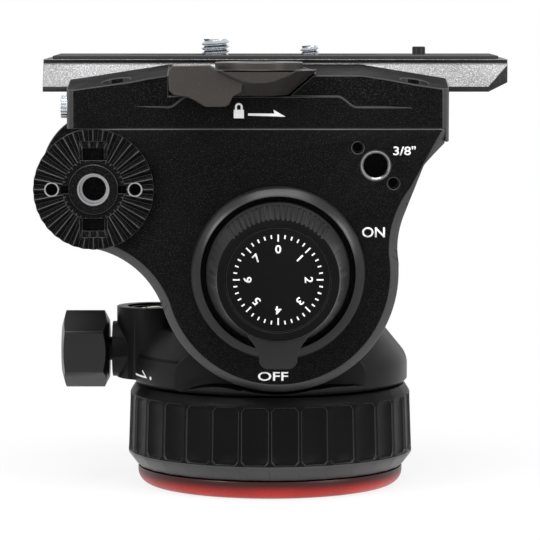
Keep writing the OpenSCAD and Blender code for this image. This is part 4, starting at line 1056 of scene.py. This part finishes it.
@dataclass
class CounterbalanceDial(Assembly):
    """The dial with its tab, and the scale on its cap."""

    face: float = 71.0
    flat_r: float = 20.2
    # Reach in mm and normal along Y of the dial's side that gets a painted highlight.
    side_r: float = 25.0
    side: tuple[float, float] = (-0.4, -0.05)
    tick_r: tuple[float, float, float] = (14.4, 13.2, 12.2)
    tick_w: float = 0.45
    ticks: int = 40
    each: int = 5
    number_r: float = 9.6
    number_h: float = 3.6
    easings: Sequence[tuple] = (
        ("counterbalance_dial", Paint.DIAL, None, 0.35),
        ("dial_cap", Paint.GRIP, Paint.GRIP_EDGE, 0.25),
    )

    def build(self) -> None:
        """Makes the eased copies, darkens the flat ring round the cap and paints a highlight on the dial's
        side.
        """
        super().build()
        low, high = self.side
        polish("counterbalance_dial_eased", Paint.GRIP, lambda centre, normal: normal.y < -FACING
               and self.off_axis(centre) < self.flat_r)
        # Painted highlight on the dial's side.
        polish("counterbalance_dial_eased", Paint.GRIP_BAND, lambda centre, normal: low < normal.y < high
               and self.off_axis(centre) < self.side_r)

    @staticmethod
    def off_axis(place: Vector) -> float:
        """Distance of a place from the dial's axis in mm."""
        return math.hypot(place.x / MM - DIAL_AXIS[0], place.z / MM - DIAL_AXIS[1])

    def dress(self) -> None:
        """Prints the scale and its plain numbers."""
        out, short, long = self.tick_r
        strokes = []
        for index in range(self.ticks):
            inner = long if index % self.each == 0 else short
            half = self.tick_w / 2
            stroke = Printer.shape([(-half, inner), (half, inner), (half, out), (-half, out)])
            stroke.rotation_euler.z = -2 * math.pi * index / self.ticks
            strokes.append(Bench.settle(stroke))
        place = near_face(DIAL_AXIS[0], self.face, DIAL_AXIS[1])
        Printer.lay(Bench.join(strokes, "ticks"), "dial_ticks", place, "dial")
        figures = []
        for index in range(self.ticks // self.each):
            turn = -2 * math.pi * index * self.each / self.ticks
            figure = Printer.words(str(index), self.number_h, 1.1, 0.08)
            figure.location = Vector((-math.sin(turn), math.cos(turn), 0.0)) * self.number_r * MM
            figure.rotation_euler.z = turn
            figures.append(Bench.settle(figure))
        Printer.lay(Bench.join(figures, "figures"), "dial_figures", place, "dial")


@dataclass
class PlateClamp(Assembly):
    """Clamp body, lock lever, jaw and release button."""

    easings: Sequence[tuple] = (
        ("clamp_body", Paint.COAT, Paint.COAT_EDGE, 0.35),
        ("plate_lock_lever", Paint.PEWTER, None, 0.4, 3),
        ("release_button", Paint.ZINC, None, 0.12),
        ("clamp_jaw", Paint.COAT, Paint.COAT_EDGE, 0.2),
    )
    # Painted highlight and painted sheen on the round ends of the clamp body: finish, and least and most
    # part of the normal along X.
    rounds: Sequence[tuple[Paint, float, float]] = (
        (Paint.COAT_EDGE, 0.4, 0.96), (Paint.COAT_BAND, 0.75, 0.96),
    )

    def build(self) -> None:
        """Makes the eased copies and paints highlights and sheen on the round ends of the clamp body."""
        super().build()
        for paint, least, most in self.rounds:
            polish("clamp_body_eased", paint,
                   lambda centre, normal: abs(normal.z) < ALONG and least < abs(normal.x) < most)

    def dress(self) -> None:
        """Prints the padlock and the arrow that shows which way the lever locks."""
        lock = Printer.shape([(-1.65, -2.4), (1.65, -2.4), (1.65, 0.35), (-1.65, 0.35)])
        shackle = Printer.shape(
            [(1.25, 0.35)] + arc(1.25, 0, 180, 13, (0, 1.3)) + [(-1.25, 0.35), (-0.6, 0.35)]
            + arc(0.6, 180, 0, 11, (0, 1.3)) + [(0.6, 0.35)])
        Printer.lay(Bench.join([lock, shackle], "padlock"), "lever_mark_padlock",
                    near_face(-10.1, CHEEK_HALF, 127.75), "cage")
        arrow = Printer.shape([(-6.0, -0.4), (6.1, -0.75), (2.2, 1.55), (2.5, 0.25), (-6.0, 0.35)])
        Printer.lay(arrow, "lever_mark_arrow", near_face(-1.1, CHEEK_HALF, 126.6), "cage")


@dataclass
class Thread:
    """An outer thread on a camera screw, in mm, with its depth and flats as shares of the pitch."""

    node: str
    x: float
    radius: float
    pitch: float
    low: float
    top: float
    point: float = 0.8
    depth: float = 0.61
    flat: float = 0.125
    steps: int = 36
    weld: float = 1e-6

    def build(self) -> None:
        """Cuts the plain end off a copy of the screw and puts a real thread in its place."""
        shank = Bench.copy(frame["nodes"][self.node], f"{self.node}_shank")
        Bench.mend(shank)
        self.cut(shank, self.low, keep_below=True)
        coil = self.coil()
        piece = Bench.join([shank, coil], f"{self.node}_threaded")
        Paint.ZINC.coat(piece)
        stand_in(Bench.done(piece, STEEP), self.node)

    @staticmethod
    def cut(piece: Piece, z: float, keep_below: bool) -> None:
        """Cuts a piece off level at a height in mm and closes it."""
        Bench.open(piece)
        bpy.ops.mesh.bisect(plane_co=(0, 0, z * MM), plane_no=(0, 0, 1), use_fill=True,
                            clear_outer=keep_below, clear_inner=not keep_below)
        Bench.clear()

    def coil(self) -> Piece:
        """Winds one tooth of the thread round the screw's axis."""
        inner = self.radius - self.depth * self.pitch
        flat = self.flat * self.pitch
        turns = math.ceil((self.top - self.low) / self.pitch) + 2
        rises = (0.0, flat, self.pitch / 2 - flat / 2, self.pitch / 2 + flat / 2, self.pitch)
        reach = (inner, inner, self.radius, self.radius, inner)
        tooth = Bench.outline([(r, 0.0, up) for r, up in zip(reach, rises)], closed=False)
        Bench.modify(tooth, "SCREW", angle=2 * math.pi, screw_offset=self.pitch * MM, iterations=turns,
                     steps=self.steps, render_steps=self.steps, axis="Z", use_merge_vertices=True,
                     merge_threshold=self.weld)
        tooth.location = (self.x * MM, 0.0, (self.low - 1.5 * self.pitch) * MM)
        Bench.settle(tooth)
        for vertex in tooth.data.vertices:
            spare = max(0.0, vertex.co.z - (self.top - self.point) * MM)
            out = Vector((vertex.co.x - self.x * MM, vertex.co.y))
            most = max(self.radius * MM - spare, MM)
            if out.length > most:
                out = out.normalized() * most
                vertex.co.x, vertex.co.y = out.x + self.x * MM, out.y
        self.cut(tooth, self.low, keep_below=False)
        self.cut(tooth, self.top, keep_below=True)
        Bench.face_out(tooth, self.weld)
        return tooth


@dataclass
class CameraPlate(Assembly):
    """Sliding plate, pad, camera screws and video pin."""

    easings: Sequence[tuple] = (
        ("sliding_plate", Paint.PLATE, Paint.PLATE_EDGE, 0.22),
        ("plate_pad", Paint.RUBBER, None, 0.25),
        ("video_pin", Paint.OXIDE, None, 0.35),
    )
    # Least normal along Y and along Z of the plate's slopes with a painted highlight.
    slope: tuple[float, float] = (0.6, 0.3)
    threads: Sequence[Thread] = field(default_factory=lambda: (
        Thread("big_camera_screw", -18.4, 4.76, 1.5875, 144.7, 150.3),
        Thread("small_camera_screw", 13.3, 3.17, 1.27, 144.7, 148.1),
    ))

    def build(self) -> None:
        """Makes the eased copies, paints highlights on the plate's slopes, and threads both camera screws.
        """
        super().build()
        # Painted highlight on the plate's slopes that face up and out.
        polish("sliding_plate_eased", Paint.PLATE_SLOPE,
               lambda centre, normal: abs(normal.y) > self.slope[0] and normal.z > self.slope[1])
        for thread in self.threads:
            thread.build()


@dataclass
class Studio:
    """Floor, lamps, white surround and camera. Places and sizes are in metres, the lens in mm."""

    lens: float = 214.5
    stand: Point = (0.0, -1.089, 0.1656)
    pitch: float = 4.91
    sensor: float = 36.0
    target: Point = (0.0, 0.0, 0.08)
    lamps: Sequence[tuple[str, Point, float, float]] = (
        ("lamp_top", (0.0, -0.5, 1.2), 0.9, 16.0),
        ("lamp_left", (-1.0, -0.9, 0.75), 0.45, 9.0),
        ("lamp_right", (1.05, -0.75, 0.6), 0.45, 8.0),
    )
    surround: float = 0.35
    floor_size: float = 12.0
    floor_z: float = -0.0002
    floor_white: float = 0.93
    fade_from: float = 0.06
    fade_to: float = 0.5
    fade_least: float = 0.84

    def build(self) -> None:
        """Sets up the whole studio."""
        bpy.context.scene.view_settings.view_transform = "Standard"
        self.build_floor()
        self.build_lamps()
        self.build_surround()
        self.build_camera()

    @staticmethod
    def seen(wires: Wires) -> Socket:
        """1 for rays from the camera, a mirror-like surface or glass, else 0."""
        path = wires.add("ShaderNodeLightPath")
        shown = wires.math("MAXIMUM", path.outputs["Is Camera Ray"], path.outputs["Is Glossy Ray"])
        return wires.math("MAXIMUM", shown, path.outputs["Is Transmission Ray"])

    def build_floor(self) -> None:
        """Lays a white floor that keeps a soft shadow."""
        Bench.clear()
        bpy.ops.mesh.primitive_plane_add(size=self.floor_size, location=(0.0, 0.0, self.floor_z))
        floor = Bench.settle(Bench.name(bpy.context.object, "floor"))
        material = bpy.data.materials.new("white_floor")
        material.use_nodes = True
        wires = Wires(material.node_tree)
        matt = wires.fill(material.node_tree.nodes["Principled BSDF"], {
            "Base Color": (*[self.floor_white] * 3, 1.0), "Roughness": 0.9, "Specular IOR Level": 0.0,
        })
        glow = wires.add("ShaderNodeEmission", in_0=(1.0, 1.0, 1.0, 1.0), in_1=1.0)
        away = wires.add("ShaderNodeVectorMath", operation="LENGTH", in_0=wires.place()).outputs["Value"]
        share = wires.add("ShaderNodeMapRange", interpolation_type="SMOOTHSTEP", in_0=away,
                          in_1=self.fade_from, in_2=self.fade_to, in_3=self.fade_least, in_4=1.0).outputs[0]
        part = wires.math("MULTIPLY", self.seen(wires), share)
        mix = wires.add("ShaderNodeMixShader", in_0=part, in_1=matt.outputs[0], in_2=glow.outputs[0])
        wires.feed(material.node_tree.nodes["Material Output"].inputs["Surface"], mix.outputs[0])
        floor.data.materials.append(material)

    def build_lamps(self) -> None:
        """Hangs the soft lamps."""
        for name, place, size, power in self.lamps:
            light = bpy.data.lights.new(name, "AREA")
            light.shape = "SQUARE"
            light.size = size
            light.energy = power
            lamp = bpy.data.objects.new(name, light)
            bpy.context.scene.collection.objects.link(lamp)
            lamp.location = place
            lamp.rotation_euler = (Vector(self.target) - Vector(place)).to_track_quat("-Z", "Y").to_euler()

    def build_surround(self) -> None:
        """Makes the world white to look at and dimmer as a light."""
        world = bpy.data.worlds.new("surround")
        bpy.context.scene.world = world
        world.use_nodes = True
        wires = Wires(world.node_tree)
        level = wires.add("ShaderNodeMapRange", in_0=self.seen(wires), in_3=self.surround, in_4=1.0)
        wires.fill(world.node_tree.nodes["Background"], {
            "Color": (1.0, 1.0, 1.0, 1.0), "Strength": level.outputs[0],
        })

    def build_camera(self) -> None:
        """Places the camera as the photograph's stood."""
        data = bpy.data.cameras.new("camera")
        data.lens = self.lens
        data.sensor_width = self.sensor
        data.clip_start = 0.05
        data.clip_end = 50.0
        camera = bpy.data.objects.new("camera", data)
        bpy.context.scene.collection.objects.link(camera)
        camera.location = self.stand
        camera.rotation_euler = (math.radians(90.0 - self.pitch), 0.0, 0.0)
        bpy.context.scene.camera = camera


def main() -> None:
    """Builds and dresses the head, then sets up the studio."""
    paint_nodes()
    head = (FlatBase(), PanStage(), DragRing(), Cage(), CounterbalanceDial(), FarControls(), PlateClamp(),
            CameraPlate())
    for assembly in head:
        log.info("building %s", type(assembly).__name__)
        assembly.build()
        assembly.dress()
    Studio().build()


if __name__ == "__main__":
    main()
